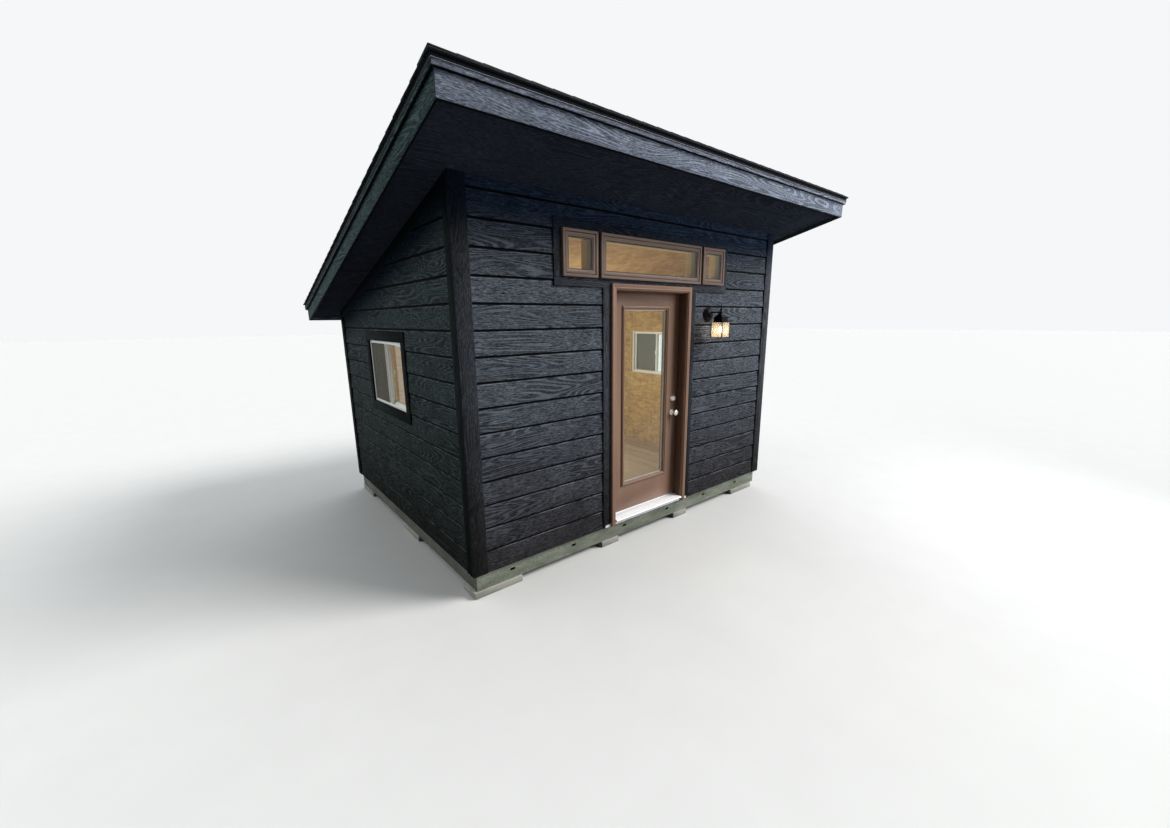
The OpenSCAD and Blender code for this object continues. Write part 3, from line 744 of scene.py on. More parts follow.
@dataclass(frozen=True)
class Galvanised:
    """Hot-dipped steel with spangles, runs and dull stains.

    Attributes:
        name: The material's name.
        clean: A factor on its colours; a low one gives a darker copy, painted shade with some dirt.
    """

    name: str = "galvanised_steel"
    clean: float = 1.14

    def build(self) -> Material:
        """Makes the material."""
        recipe = Recipe(self.name)
        spangle = recipe.cell_tones(85.0)[0]
        darkening = recipe.band(recipe.noise((3.0, 3.0, 9.0), detail=6.0, rough=0.65), 0.36, 0.66)
        splash = recipe.band(recipe.noise(42.0, detail=4.0, rough=0.7), 0.56, 0.72)
        colour = recipe.mix(spangle, (0.168, 0.183, 0.150), (0.266, 0.286, 0.242))
        colour = recipe.mix(darkening, colour, (0.098, 0.114, 0.080))
        colour = recipe.mix(recipe.times(splash, 0.6), colour, (0.30, 0.31, 0.26))
        colour = recipe.tinted(colour, (self.clean,) * 3)
        dull = recipe.math("ADD", recipe.times(spangle, 0.5), darkening)
        rough = recipe.band(dull, 0.0, 1.5, 0.38, 0.72)
        return recipe.principled(colour, rough, recipe.bump(spangle, 0.0003), Metallic=0.45)


@dataclass(frozen=True)
class BrushedMetal:
    """Bare metal brushed along one axis.

    Attributes:
        name: The material's name.
        colour: Its colour.
        grain: The way the brush marks run.
        rough: Roughness.
        metal: Share of metal in its look.
    """

    name: str
    colour: Colour
    grain: Grain
    rough: float
    metal: float = 0.9

    def build(self) -> Material:
        """Makes the material."""
        recipe = Recipe(self.name)
        scale = [900.0] * 3
        scale[self.grain.value] = 12.0
        marks = recipe.noise(scale, detail=2.0)
        dirt = recipe.band(recipe.noise(30.0, detail=5.0, rough=0.7), 0.5, 0.75)
        dull = tuple(c * 0.72 for c in self.colour)
        colour = recipe.mix(recipe.times(dirt, 0.5), self.colour, dull)
        rough = recipe.sum_of(marks, 0.18, self.rough)
        return recipe.principled(colour, rough, recipe.bump(marks, 0.00008), Metallic=self.metal)


@dataclass(frozen=True)
class StrandBoard:
    """Bare golden sheet of pressed wood strands.

    Attributes:
        name: The material's name.
        pale: Colour of the palest strands.
        deep: Colour of the darkest strands.
    """

    name: str = "strand_board"
    pale: Colour = (0.60, 0.44, 0.175)
    deep: Colour = (0.29, 0.185, 0.058)

    def build(self) -> Material:
        """Makes the material."""
        recipe = Recipe(self.name)
        layers = ((0.35, (9.0, 9.0, 34.0)), (-0.5, (30.0, 30.0, 10.0)), (1.2, (12.0, 12.0, 40.0)))
        tones = [
            recipe.cell_tones(1.0, recipe.mapped(stretch, (turn, turn * 0.7, turn * 0.4)))[number]
            for number, (turn, stretch) in enumerate(layers)
        ]
        tone = recipe.sum_of(recipe.sum_of(tones[0], 0.55, tones[1]), 0.55, tones[2])
        tone = recipe.band(tone, 0.2, 1.7)
        fibre = recipe.noise((40.0, 40.0, 260.0))
        colour = recipe.mix(tone, self.deep, self.pale)
        colour = recipe.mix(recipe.times(fibre, 0.35), colour, (0.42, 0.25, 0.11))
        return recipe.principled(colour, 0.62, recipe.bump(tone, 0.0006))


@dataclass(frozen=True)
class PlankWood:
    """Planed wood or planks with a long grain from front to back.

    Attributes:
        name: The material's name.
        pale: Pale tone.
        deep: Deep tone.
        plank: Width of one plank, or 0 for a single board.
        rough: Roughness.
    """

    name: str
    pale: Colour
    deep: Colour
    plank: float = 0.0
    rough: float = 0.5

    def build(self) -> Material:
        """Makes the material."""
        recipe = Recipe(self.name)
        board: Value = 0.0
        if self.plank:
            number = recipe.math("FLOOR", recipe.math("DIVIDE", recipe.axis("X"), self.plank))
            board = recipe.times(number, 5.7)
        grain = recipe.noise((38.0, 1.6, 38.0), detail=5.0, rough=0.6, w=board, twist=0.4)
        tint = recipe.band(recipe.noise((0.01,) * 3, detail=0.0, w=board), 0.3, 0.7, -0.2, 0.4)
        tone = recipe.math("ADD", recipe.band(grain, 0.3, 0.7, 0.0, 0.7), tint)
        colour = recipe.mix(recipe.band(tone, 0.0, 1.0), self.deep, self.pale)
        return recipe.principled(colour, self.rough, recipe.bump(grain, 0.0005))


@dataclass(frozen=True)
class Concrete:
    """Cast grey concrete with pits and pale laitance."""

    name: str = "cast_concrete"

    def build(self) -> Material:
        """Makes the material."""
        recipe = Recipe(self.name)
        cloud = recipe.band(recipe.noise(9.0, detail=6.0, rough=0.65), 0.3, 0.7)
        grit = recipe.noise(240.0, detail=4.0, rough=0.7)
        pits = recipe.band(recipe.noise(95.0, detail=2.0), 0.22, 0.36)
        colour = recipe.mix(cloud, (0.24, 0.235, 0.21), (0.40, 0.39, 0.35))
        colour = recipe.mix(recipe.times(grit, 0.4), colour, (0.28, 0.28, 0.25))
        height = recipe.bump(recipe.sum_of(grit, 0.3, pits), 0.0016)
        return recipe.principled(colour, 0.88, height)


@dataclass(frozen=True)
class Granules:
    """Mineral granules of asphalt shingles, with a tone for each tab."""

    name: str = "shingle_granules"
    tone_name: str = "tab_tone"

    def build(self) -> Material:
        """Makes the material."""
        recipe = Recipe(self.name)
        tab = recipe.node("Attribute", attribute_name=self.tone_name).outputs["Fac"]
        value = recipe.cell_tones(520.0)[0]
        tone = recipe.sum_of(tab, 0.6, recipe.times(value, 0.45))
        tone = recipe.band(recipe.sum_of(recipe.noise(14.0, detail=4.0), 0.25, tone), 0.2, 1.1)
        colour = recipe.mix(tone, (0.008, 0.009, 0.011), (0.070, 0.074, 0.080))
        return recipe.principled(colour, 0.93, recipe.bump(value, 0.0009), Specular_IOR_Level=0.1)


@dataclass(frozen=True)
class ClearGlass:
    """Flat window glass with a film of dust, which lets lamps through."""

    name: str = "window_glass_clear"

    def build(self) -> Material:
        """Makes the material."""
        recipe = Recipe(self.name)
        clear = recipe.shader("Transparent", (0.93, 0.96, 0.95))
        mirror = recipe.shader("Glossy", WHITE, Roughness=0.02)
        pane = recipe.layered(recipe.outer_mirror(GLASS_IOR), clear, mirror)
        smear = recipe.noise((3.0, 3.0, 1.2), detail=6.0, rough=0.7)
        dust = recipe.shader("Diffuse", (0.72, 0.73, 0.70))
        return recipe.finish(recipe.layered(recipe.band(smear, 0.45, 0.8, 0.0, 0.02), pane, dust))


@dataclass(frozen=True)
class SeededGlass:
    """Wavy lantern glass full of small bubbles, which scatters the light of its lamp."""

    name: str = "seeded_glass"

    def build(self) -> Material:
        """Makes the material."""
        recipe = Recipe(self.name)
        seeds = recipe.band(recipe.cells(95.0).outputs["Distance"], 0.05, 0.35)
        wave = recipe.noise((40.0, 40.0, 24.0), detail=2.0, twist=1.2)
        height = recipe.math("ADD", seeds, wave)
        normal = recipe.bump(height, 0.002)
        clear = recipe.shader("Transparent", (0.99, 0.97, 0.93))
        mirror = recipe.shader("Glossy", WHITE, Roughness=0.08, Normal=normal)
        haze = recipe.shader("Translucent", (1.0, 0.93, 0.8), Normal=normal)
        pane = recipe.layered(recipe.outer_mirror(1.5), clear, mirror)
        return recipe.finish(recipe.layered(recipe.band(height, 0.95, 1.45, 0.0, 0.15), pane, haze))


@dataclass(frozen=True)
class InsectScreen:
    """Dark woven screen, seen through between its wires."""

    name: str = "insect_screen"
    pitch: float = 0.0015

    def build(self) -> Material:
        """Makes the material."""
        recipe = Recipe(self.name)
        wires = [
            recipe.math("SINE", recipe.times(recipe.axis(axis), 2 * math.pi / self.pitch))
            for axis in ("Y", "Z")
        ]
        woven_share = recipe.math("MAXIMUM", *(recipe.band(wire, -0.1, 0.5) for wire in wires))
        dust = recipe.band(recipe.noise((4.0, 60.0, 3.0), detail=4.0), 0.3, 0.7)
        tone = recipe.mix(dust, (0.150, 0.147, 0.125), (0.205, 0.200, 0.170))
        woven = recipe.shader("Diffuse", tone)
        gap = recipe.shader("Transparent", (0.9, 0.9, 0.9))
        share = recipe.band(woven_share, 0.0, 1.0, 0.55, 0.97)
        return recipe.finish(recipe.layered(share, gap, woven))


@dataclass(frozen=True)
class LampGlow:
    """The frosted, lit glass of a bulb."""

    name: str = "lit_bulb"
    strength: float = 9.0

    def build(self) -> Material:
        """Makes the material."""
        recipe = Recipe(self.name)
        frost = recipe.noise(160.0)
        return recipe.principled(
            (0.9, 0.85, 0.75),
            0.35,
            recipe.bump(frost, 0.0002),
            Emission_Color=recipe.mix(frost, (1.0, 0.76, 0.46), (1.0, 0.90, 0.70)),
            Emission_Strength=self.strength,
        )


@dataclass
class Palette:
    """Every material of the pod, made once."""

    made: dict[str, Material] = field(default_factory=dict)

    def build(self) -> None:
        """Makes the materials."""
        for recipe in (
            PaintedBoard("siding_along_x", Grain.ALONG_X, lapped=True),
            # The side walls take a darker, greener copy of the siding paint: painted shade.
            PaintedBoard(
                "siding_along_y", Grain.ALONG_Y, ridge=(0.080, 0.111, 0.113),
                painted_glint=(0.24, 0.28, 0.285), lapped=True, eave=(0.10, 0.17, 0.27), gloss=0.008,
            ),
            # The fascia's pale colours are painted light from the open sky, and the trim's dark
            # ones painted shade.
            *self.boards("trim", (0.006, 0.007, 0.009), (0.056, 0.062, 0.073), (0.15, 0.16, 0.19)),
            *self.boards("casing", (0.010, 0.011, 0.014), (0.098, 0.108, 0.130), (0.2, 0.22, 0.26)),
            *self.boards(
                "fascia", (0.028, 0.036, 0.052), (0.375, 0.430, 0.545), (0.70, 0.77, 0.90),
                painted_shade=False,
            ),
            # The soffit's dark colours are partly painted shade under the roof.
            PaintedBoard(
                "soffit_panel", Grain.ALONG_X, (0.017, 0.021, 0.031), (0.072, 0.086, 0.122),
                (0.09, 0.104, 0.14), depth=0.0006, rough=0.75, gloss=0.006, painted_shade=False,
            ),
            # Near-black edges of the boards; on their undersides this is painted shade.
            SmoothPaint("board_edge", (0.005, 0.006, 0.009), (0.003, 0.003, 0.005), 0.8, 0.04),
            SmoothPaint("copper_brown", (0.290, 0.164, 0.108), (0.225, 0.126, 0.082), 0.36),
            SmoothPaint("leaf_brown", (0.238, 0.135, 0.088), (0.184, 0.104, 0.067), 0.36),
            SmoothPaint("frame_inside", (0.40, 0.37, 0.21), (0.32, 0.29, 0.16), 0.5),
            SmoothPaint("white_vinyl", (0.95, 0.97, 0.95), (0.88, 0.90, 0.87), 0.32),
            # A darker copy of the brown paint for the door frame: painted shade in the door's
            # recess.
            SmoothPaint("jamb_brown", (0.150, 0.080, 0.051), (0.105, 0.056, 0.036), 0.5, 0.2),
            # A darker, greyer copy of the brown paint for the transom frames: painted shade under
            # the roof.
            SmoothPaint("bronze_dull", (0.195, 0.124, 0.092), (0.15, 0.098, 0.074)),
            SmoothPaint("drip_metal", (0.008, 0.010, 0.016), (0.004, 0.005, 0.009), 0.6, 0.03),
            SmoothPaint("lantern_black", (0.002, 0.002, 0.003), (0.001, 0.001, 0.002), 0.4, 0.08),
            # A pale band along the hem of the drip edge: painted highlight.
            SmoothPaint("drip_hem", (0.20, 0.215, 0.235), (0.10, 0.11, 0.12), 0.5),
            SmoothPaint("rubber_seal", (0.03, 0.026, 0.024), (0.015, 0.013, 0.012), 0.7),
            Galvanised(),
            # A darker copy for the side rims and joists: painted shade with some dirt.
            Galvanised("galvanised_dull", 0.46),
            BrushedMetal("sill_aluminium", (0.84, 0.85, 0.87), Grain.ALONG_X, 0.42, metal=0.2),
            BrushedMetal("satin_nickel", (0.72, 0.69, 0.64), Grain.ALONG_Z, 0.24),
            BrushedMetal("spacer_metal", (0.62, 0.64, 0.63), Grain.ALONG_Z, 0.4),
            StrandBoard(),
            StrandBoard("ceiling_board", (0.60, 0.40, 0.19), (0.34, 0.20, 0.08)),
            PlankWood("floor_planks", (0.56, 0.46, 0.36), (0.31, 0.245, 0.185), 0.18, 0.42),
            PlankWood("rafter_wood", (0.66, 0.48, 0.27), (0.45, 0.29, 0.14)),
            PlankWood("pale_wood", (0.68, 0.53, 0.29), (0.52, 0.38, 0.19)),
            Concrete(),
            Granules(),
            ClearGlass(),
            SeededGlass(),
            InsectScreen(),
            LampGlow(),
        ):
            self.made[recipe.name] = recipe.build()

    def __getitem__(self, name: str) -> Material:
        """One material by name."""
        return self.made[name]

    @staticmethod
    def boards(
        family: str, groove: Colour, ridge: Colour, painted_glint: Colour, painted_shade: bool = True
    ) -> list[PaintedBoard]:
        """One paint on single boards, with the grain along each axis.

        Args:
            family: First word of the materials' names.
            groove: Colour in the grooves of front boards, dark partly as painted shade; side boards
                get darker copies, as painted shade.
            ridge: Colour on their ridges.
            painted_glint: Colour of the ridges that shine: a painted highlight.
            painted_shade: Whether they get painted shade under the roof and turn darker and browner
                towards the ground.

        Returns:
            The finishes.
        """
        return [
            PaintedBoard(
                f"{family}_{place}_{grain.name.lower()}",
                grain,
                *(tuple(c * d for c, d in zip(tone, dull)) for tone in (groove, ridge, painted_glint)),
                depth=0.001,
                gloss=gloss,
                painted_shade=painted_shade,
            )
            # The side copies are darker by the dull factor: painted shade.
            for place, dull, gloss in (("front", WHITE, 0.03), ("side", (0.31, 0.40, 0.33), 0.008))
            for grain in Grain
        ]


# The pod


@dataclass(frozen=True)
class RoofPlane:
    """The sloping plane that the soffit, the trim and the shingles follow."""

    height: float = 2.885
    slope: float = 0.25

    def z(self, y: float, over: float = 0.0) -> float:
        """Height of the plane at a depth, plus a rise over it."""
        return self.height - self.slope * (y - TRIM_FACE_Y) + over

    @property
    def up(self) -> Vector:
        """The plane's normal."""
        return Vector((0.0, self.slope, 1.0)).normalized()

    @property
    def stretch(self) -> float:
        """Length along the slope of one metre of depth."""
        return math.sqrt(1 + self.slope**2)

    def trim(self, piece: Piece, below: float) -> None:
        """Cuts away what stands higher than a gap below the plane."""
        cut_plane(piece, (0.0, TRIM_FACE_Y, self.height - below), self.up)


@dataclass
class Assembly:
    """A sub-assembly of the pod, which makes its pieces one by one."""

    palette: Palette
    roof: RoofPlane = RoofPlane()

    def pieces(self) -> Iterator[Piece]:
        """Makes the pieces."""
        raise NotImplementedError

    def build(self) -> list[str]:
        """Makes the pieces and gives their names."""
        return [piece.name for piece in self.pieces()]

    def dress(self, piece: Piece, material: str, slot: str, body: str = POD) -> Piece:
        """Gives a new piece its material and its body.

        Args:
            piece: The piece.
            material: Name of its only material.
            slot: Not used.
            body: The body that it moves with.

        Returns:
            The piece.
        """
        paint(piece, self.palette[material])
        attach(piece, body)
        return piece

    def keep(self, node: str, material: str, slot: str) -> Piece:
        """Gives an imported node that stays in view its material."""
        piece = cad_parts[node]
        paint(piece, self.palette[material])
        return piece

    def rings(
        self,
        name: str,
        boxes: Iterable[tuple[Place, Place]],
        width: float,
        axis: Grain,
        edge: float,
        segments: int = 2,
    ) -> Piece:
        """Models one piece of flat frames.

        Args:
            name: The piece's name.
            boxes: The lowest and highest corner of each frame.
            width: Width of their faces.
            axis: The axis that they are pierced along.
            edge: Width of their rounded edges.
            segments: How many facets a rounded edge has.

        Returns:
            The piece.
        """
        frames = [start_ring(low, high, width, axis) for low, high in boxes]
        return ease(join_all(frames, name), edge, segments)


@dataclass
class LapSiding(Assembly):
    """Lap boards on the four walls, each one a leaning board that lies on the one below."""

    cover: float = 0.025
    thickness: float = 0.0084
    half_w: float = 1.7462
    side_y: Span = (-1.2917, 1.6227)
    sheath_x: float = 1.840
    frieze_h: float = 0.078
    gap: float = 0.0005
    droop: float = 0.0004
    butt_round: float = 0.0022
    starter_z: Span = (0.003, 0.035)
    depth: float = 0.2
    door_cut: Hole = (-0.6223, 0.5463, 0.0, 2.2417)
    row_cut: Hole = (-1.0953, 1.0193, 2.2407, 2.7163)
    window_cut: Hole = (-0.3468, 0.7578, 1.1382, 1.9118)

    @property
    def rise(self) -> float:
        """Full height of one board."""
        return LAP_PITCH + self.cover

    @property
    def reach(self) -> float:
        """Distance of a board's butt from the sheathing."""
        return self.thickness * (1 + self.rise / LAP_PITCH)

    def stock(self) -> Piece:
        """Models one board, a metre long from X 0, its butt at Z 0, on the plane Y 0."""
        board = start_box(
            "lap_stock", (0.0, -self.reach, 0.0), (1.0, -self.reach + self.thickness, self.rise)
        )
        lean = self.thickness * self.rise / LAP_PITCH
        shift(board, lambda co: co.z > self.rise / 2, (0.0, lean, 0.0))
        bevel_edges(
            board,
            lambda a, b: max(a.z, b.z) < NEAR and max(a.y, b.y) < -self.reach + NEAR,
            self.butt_round,
            3,
        )
        return board

    def cut_holes(self, board: Piece, cuts: Sequence[Hole], low: float, high: float) -> None:
        """Cuts the openings that reach a board between two heights out of it."""
        for x0, x1, z0, z1 in cuts:
            if z1 > low and z0 < high:
                cut_box(board, (x0, -self.depth, z0), (x1, self.depth, z1))

    def wall(
        self, name: str, width: Span, top: float, cuts: Sequence[Hole], rng: random.Random
    ) -> Piece:
        """Builds one wall's boards, facing -Y with the sheathing on the plane Y 0.

        Args:
            name: The piece's name.
            width: Its two ends along X.
            top: Height at which the highest board may end.
            cuts: Openings as two X values and two Z values.
            rng: Source of the small differences between boards.

        Returns:
            The wall's boards as one piece.
        """
        stock = self.stock()
        boards = []
        for course in range(math.ceil((top - LAP_BASE) / LAP_PITCH)):
            z = LAP_BASE + course * LAP_PITCH
            droop = rng.uniform(-self.droop, self.droop)
            where = Matrix.Translation((width[0], -rng.uniform(0.0, self.gap), z + droop))
            board = lay(stock, f"{name}_{course}", where, (width[1] - width[0], 1.0, 1.0))
            self.cut_holes(board, cuts, z, z + self.rise)
            if board.data.vertices:
                boards.append(board)
            else:
                discard(board)
        low, high = (LAP_BASE + z for z in self.starter_z)
        starter = start_box(
            f"{name}_starter",
            (width[0], -self.reach + self.thickness + self.gap, low),
            (width[1], 0.0, high),
        )
        self.cut_holes(starter, cuts, low, high)
        discard(stock)
        return join_all([*boards, starter], name)

    def pieces(self) -> Iterator[Piece]:
        """The boards of the front, the back and the two sides."""
        rng = random.Random(11)
        width = (-self.half_w, self.half_w)
        y0, y1 = self.side_y
        w0, w1, z0, z1 = self.window_cut
        for name, node, quarters, place, span, cuts in (
            ("front_lap_boards", "front_siding", 0, (0.0, SHEATH_FRONT_Y, 0.0), width,
             (self.door_cut, self.row_cut)),
            ("back_lap_boards", "back_siding", 2, (0.0, SHEATH_BACK_Y, 0.0), width, ()),
            ("left_lap_boards", "left_siding", -1, (-self.sheath_x, 0.0, 0.0), (-y1, -y0),
             ((-w1, -w0, z0, z1),)),
            ("right_lap_boards", "right_siding", 1, (self.sheath_x, 0.0, 0.0), (y0, y1),
             ((w0, w1, z0, z1),)),
        ):
            on_side = bool(quarters % 2)
            frieze = self.frieze_h * on_side
            top = self.roof.z(y0 if on_side else place[1]) - frieze
            piece = self.wall(name, span, top, cuts, rng)
            turn = Matrix.Rotation(quarters * math.pi / 2, 4, "Z")
            piece.data.transform(Matrix.Translation(place) @ turn)
            self.roof.trim(piece, frieze + self.gap)
            smooth(piece, SHARP)
            # The side walls take the darker, greener copy of the siding paint: painted shade.
            self.dress(piece, "siding_along_y" if on_side else "siding_along_x", "siding")
            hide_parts(node)
            yield piece


@dataclass
class ShingleRoof(Assembly):
    """Laminated asphalt shingles: leaning courses with random tabs, and a row of caps."""

    over: float = 0.1405
    edge_x: float = 2.1789
    front_y: float = -1.9995
    back_y: float = 1.9950
    exposure: float = 0.143
    cover: float = 0.045
    base_t: float = 0.0057
    tab_t: float = 0.0043
    tab_taper: float = 0.06
    cap_size: Span = (0.30, 0.145)
    cap_t: float = 0.005
    cap_step: float = 0.135
    shortest: float = 0.05
    least_share: float = 0.12
    chamfer: float = 0.0012
    cap_lift: float = 2.3
    first_x: Span = (0.0, 0.12)
    tab_w: Span = (0.09, 0.26)
    tab_gap: Span = (0.04, 0.17)
    course_tones: Span = (0.05, 0.3)
    tab_tones: Span = (0.25, 1.0)
    cap_tones: Span = (0.2, 0.9)

    @property
    def rise(self) -> float:
        """Full height of one course along the slope."""
        return self.exposure + self.cover

    @property
    def fall(self) -> float:
        """How far a course leans over its height."""
        return self.base_t * self.rise / self.exposure

    @property
    def length(self) -> float:
        """Length of the roof along the slope."""
        return (self.back_y - self.front_y) * self.roof.stretch

    def slab(self, name: str, thickness: float, lift: float) -> Piece:
        """Models a metre-wide slab that leans on the course below.

        Args:
            name: Its name.
            thickness: Its thickness.
            lift: Height of its underside over the deck at the butt.

        Returns:
            The slab: X along the course, Y up the slope from the butt, Z off the deck.
        """
        top = lift + thickness
        slab = start_box(name, (0.0, 0.0, lift), (1.0, self.rise, top))
        shift(slab, lambda co: co.y > self.rise / 2, (0.0, 0.0, -self.fall))
        bevel_edges(
            slab,
            lambda a, b: max(a.y, b.y) < NEAR and min(a.z, b.z) > top - 0.0002,
            self.chamfer,
            1,
        )
        return slab

    def onto_roof(self, x: float, up_slope: float) -> Matrix:
        """Places the slab frame on the deck, at an X and a distance up the slope."""
        y = self.back_y - up_slope / self.roof.stretch
        downhill = Vector((0.0, 1.0, -self.roof.slope)).normalized()
        axes = Matrix(((1.0, 0.0, 0.0), tuple(-downhill), tuple(self.roof.up))).transposed()
        return Matrix.Translation((x, y, self.roof.z(y, self.over))) @ axes.to_4x4()

    def lay_toned(
        self, stock: Piece, x: float, up_slope: float, size: Span, tone: float
    ) -> Piece:
        """Lays one shingle and stores its tone on all its points.

        Args:
            stock: What it is copied from.
            x: Where it starts.
            up_slope: Its distance up the slope from the back edge.
            size: Its stretch along the course and up the slope.
            tone: Its tone.

        Returns:
            The shingle.
        """
        piece = lay(stock, "shingle", self.onto_roof(x, up_slope), (*size, 1.0))
        layer = piece.data.attributes.new(Granules.tone_name, "FLOAT", "POINT")
        layer.data.foreach_set("value", [tone] * len(piece.data.vertices))
        return piece

    def courses(self, rng: random.Random) -> Piece:
        """Lays the courses from the back edge up to the front edge."""
        base = self.slab("course_stock", self.base_t, self.fall)
        tab = self.slab("tab_stock", self.tab_t, self.fall + self.base_t)
        for sign in (-1, 1):
            shift(
                tab,
                lambda co: co.y > self.rise / 2 and sign * (0.5 - co.x) > 0.0,
                (sign * self.tab_taper, 0.0, 0.0),
            )
        laid = []
        for number in range(int(self.length / self.exposure) + 1):
            start = number * self.exposure
            height = min(1.0, (self.length - start) / self.rise)
            if height < self.least_share:
                continue
            whole = (2 * self.edge_x, height)
            tone = rng.uniform(*self.course_tones)
            laid.append(self.lay_toned(base, -self.edge_x, start, whole, tone))
            if start + self.exposure > self.length - 0.5 * self.cap_size[1]:
                continue
            x = -self.edge_x + rng.uniform(*self.first_x)
            while x < self.edge_x - self.shortest:
                w = min(rng.uniform(*self.tab_w), self.edge_x - x)
                tone = rng.uniform(*self.tab_tones)
                laid.append(self.lay_toned(tab, x, start, (w, height), tone))
                x += w + rng.uniform(*self.tab_gap)
        discard(base, tab)
        return join_all(laid, "shingle_courses")

    def caps(self, rng: random.Random) -> Piece:
        """Lays the row of cap shingles along the high front edge."""
        w, d = self.cap_size
        low, high = self.base_t, self.cap_lift * self.base_t + self.tab_t
        cap = start_box("cap_stock", (0.0, 0.0, high - self.cap_t), (w, d, high))
        shift(cap, lambda co: co.x > w / 2, (0.0, 0.0, low - high + self.cap_t))
        bevel_edges(
            cap,
            lambda a, b: max(a.x, b.x) < NEAR and min(a.z, b.z) > low,
            self.chamfer,
            1,
        )
        laid = []
        x = -self.edge_x
        while x < self.edge_x - self.shortest:
            size = (min(1.0, (self.edge_x - x) / w), 1.0)
            tone = rng.uniform(*self.cap_tones)
            laid.append(self.lay_toned(cap, x, self.length - d, size, tone))
            x += self.cap_step
        discard(cap)
        return join_all(laid, "shingle_caps")

    def pieces(self) -> Iterator[Piece]:
        """The courses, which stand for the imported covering, and the caps."""
        courses = self.courses(random.Random(23))
        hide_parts("roof_covering")
        yield self.dress(courses, "shingle_granules", "shingle")
        yield self.dress(self.caps(random.Random(5)), "shingle_granules", "shingle")


@dataclass
class TrimWork(Assembly):
    """Painted boards outside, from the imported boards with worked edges."""

    joint: float = 0.003
    near: float = 0.0006
    corner_x: Span = (1.8405, 1.8630)

    @property
    def joints(self) -> tuple[Span, Span]:
        """Depth of the joints between side boards and front or back ones, and their step."""
        return (SHEATH_FRONT_Y, self.joint), (SHEATH_BACK_Y, -self.joint)

    def open_corners(self, piece: Piece) -> None:
        """Draws the side boards back from the front and back ones, for a dark joint."""
        for y, step in self.joints:
            with picking(piece) as mesh:
                bpy.ops.mesh.select_all(action="DESELECT")
                for _, points, low, high in islands(mesh):
                    if high.y - low.y > high.x - low.x:
                        for vertex in points:
                            vertex.select = abs(vertex.co.y - y) < self.near
                mesh.select_flush(True)
                bmesh.update_edit_mesh(piece.data)
                bpy.ops.transform.translate(value=(0.0, step, 0.0))

    def repaint_right_for_light(self, piece: Piece, from_x: float, material: str) -> None:
        """Gives the front faces of boards right of an X another paint, lighter or darker, as
        painted light and shade there.
        """
        piece.data.materials.append(self.palette[material])
        other = len(piece.data.materials) - 1
        for face in piece.data.polygons:
            if face.center.x > from_x and face.center.y < -1.3 and face.normal.y < -0.5:
                face.material_index = other

    def joint_fill(self) -> Piece:
        """Dark sealant in the joints between side and front or back corner boards, near-black
        partly as painted shade in the joints.
        """
        beads = []
        for side in Side:
            x0, x1 = side.span(*self.corner_x)
            for y, step in self.joints:
                y0, y1 = sorted((y + math.copysign(0.0002, step), y + step))
                beads.append(start_box("bead", (x0, y0, LAP_BASE + 0.001), (x1, y1, THROUGH)))
        piece = join_all(beads, "corner_joint_fill")
        self.roof.trim(piece, 0.001)
        return self.dress(ease(piece, 0.0006, 1), "board_edge", "trim")

    def dress_by_grain(self, piece: Piece, family: str) -> Piece:
        """Gives each board its paint by grain, the darker side copy as painted shade where it faces
        a side, and its narrow edges another.

        Args:
            piece: The piece, with each board as a separate solid.
            family: First word of the paints' names.

        Returns:
            The piece.
        """
        names = [f"{family}_{p}_{grain.name.lower()}" for p in ("front", "side") for grain in Grain]
        paint(piece, *(self.palette[name] for name in (*names, "board_edge")))
        mesh = bmesh.new()
        mesh.from_mesh(piece.data)
        for faces, _, low, high in islands(mesh):
            spans = list(high - low)
            thin, long = spans.index(min(spans)), spans.index(max(spans))
            for face in faces:
                narrow = abs(face.normal[thin]) < 0.3
                face.material_index = len(names) if narrow else long + len(Grain) * (thin == 0)
        mesh.to_mesh(piece.data)
        mesh.free()
        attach(piece, POD)
        return piece

    def pieces(self) -> Iterator[Piece]:
        """The boards and the sealant between them."""
        for node, width, family in (
            ("corner_boards", 0.0022, "trim"),
            ("frieze_boards", 0.0018, "trim"),
            ("transom_trim", 0.0022, "casing"),
            ("door_trim", 0.0022, "casing"),
            ("window_trim", 0.0022, "trim"),
            ("fascia_boards", 0.0022, "fascia"),
            ("upper_trim", 0.0018, "fascia"),
        ):
            piece = eased_copy(node, width)
            if node == "corner_boards":
                self.open_corners(piece)
            self.dress_by_grain(piece, family)
            # Painted light: the front of the right corner board takes the paler casing paint.
            if node == "corner_boards":
                self.repaint_right_for_light(piece, 1.7, "casing_front_along_z")
            # Painted shade: the front of the door trim right of the door takes the darker trim
            # paint.
            if node == "door_trim":
                self.repaint_right_for_light(piece, 0.4, "trim_front_along_z")
            yield piece
        yield self.joint_fill()


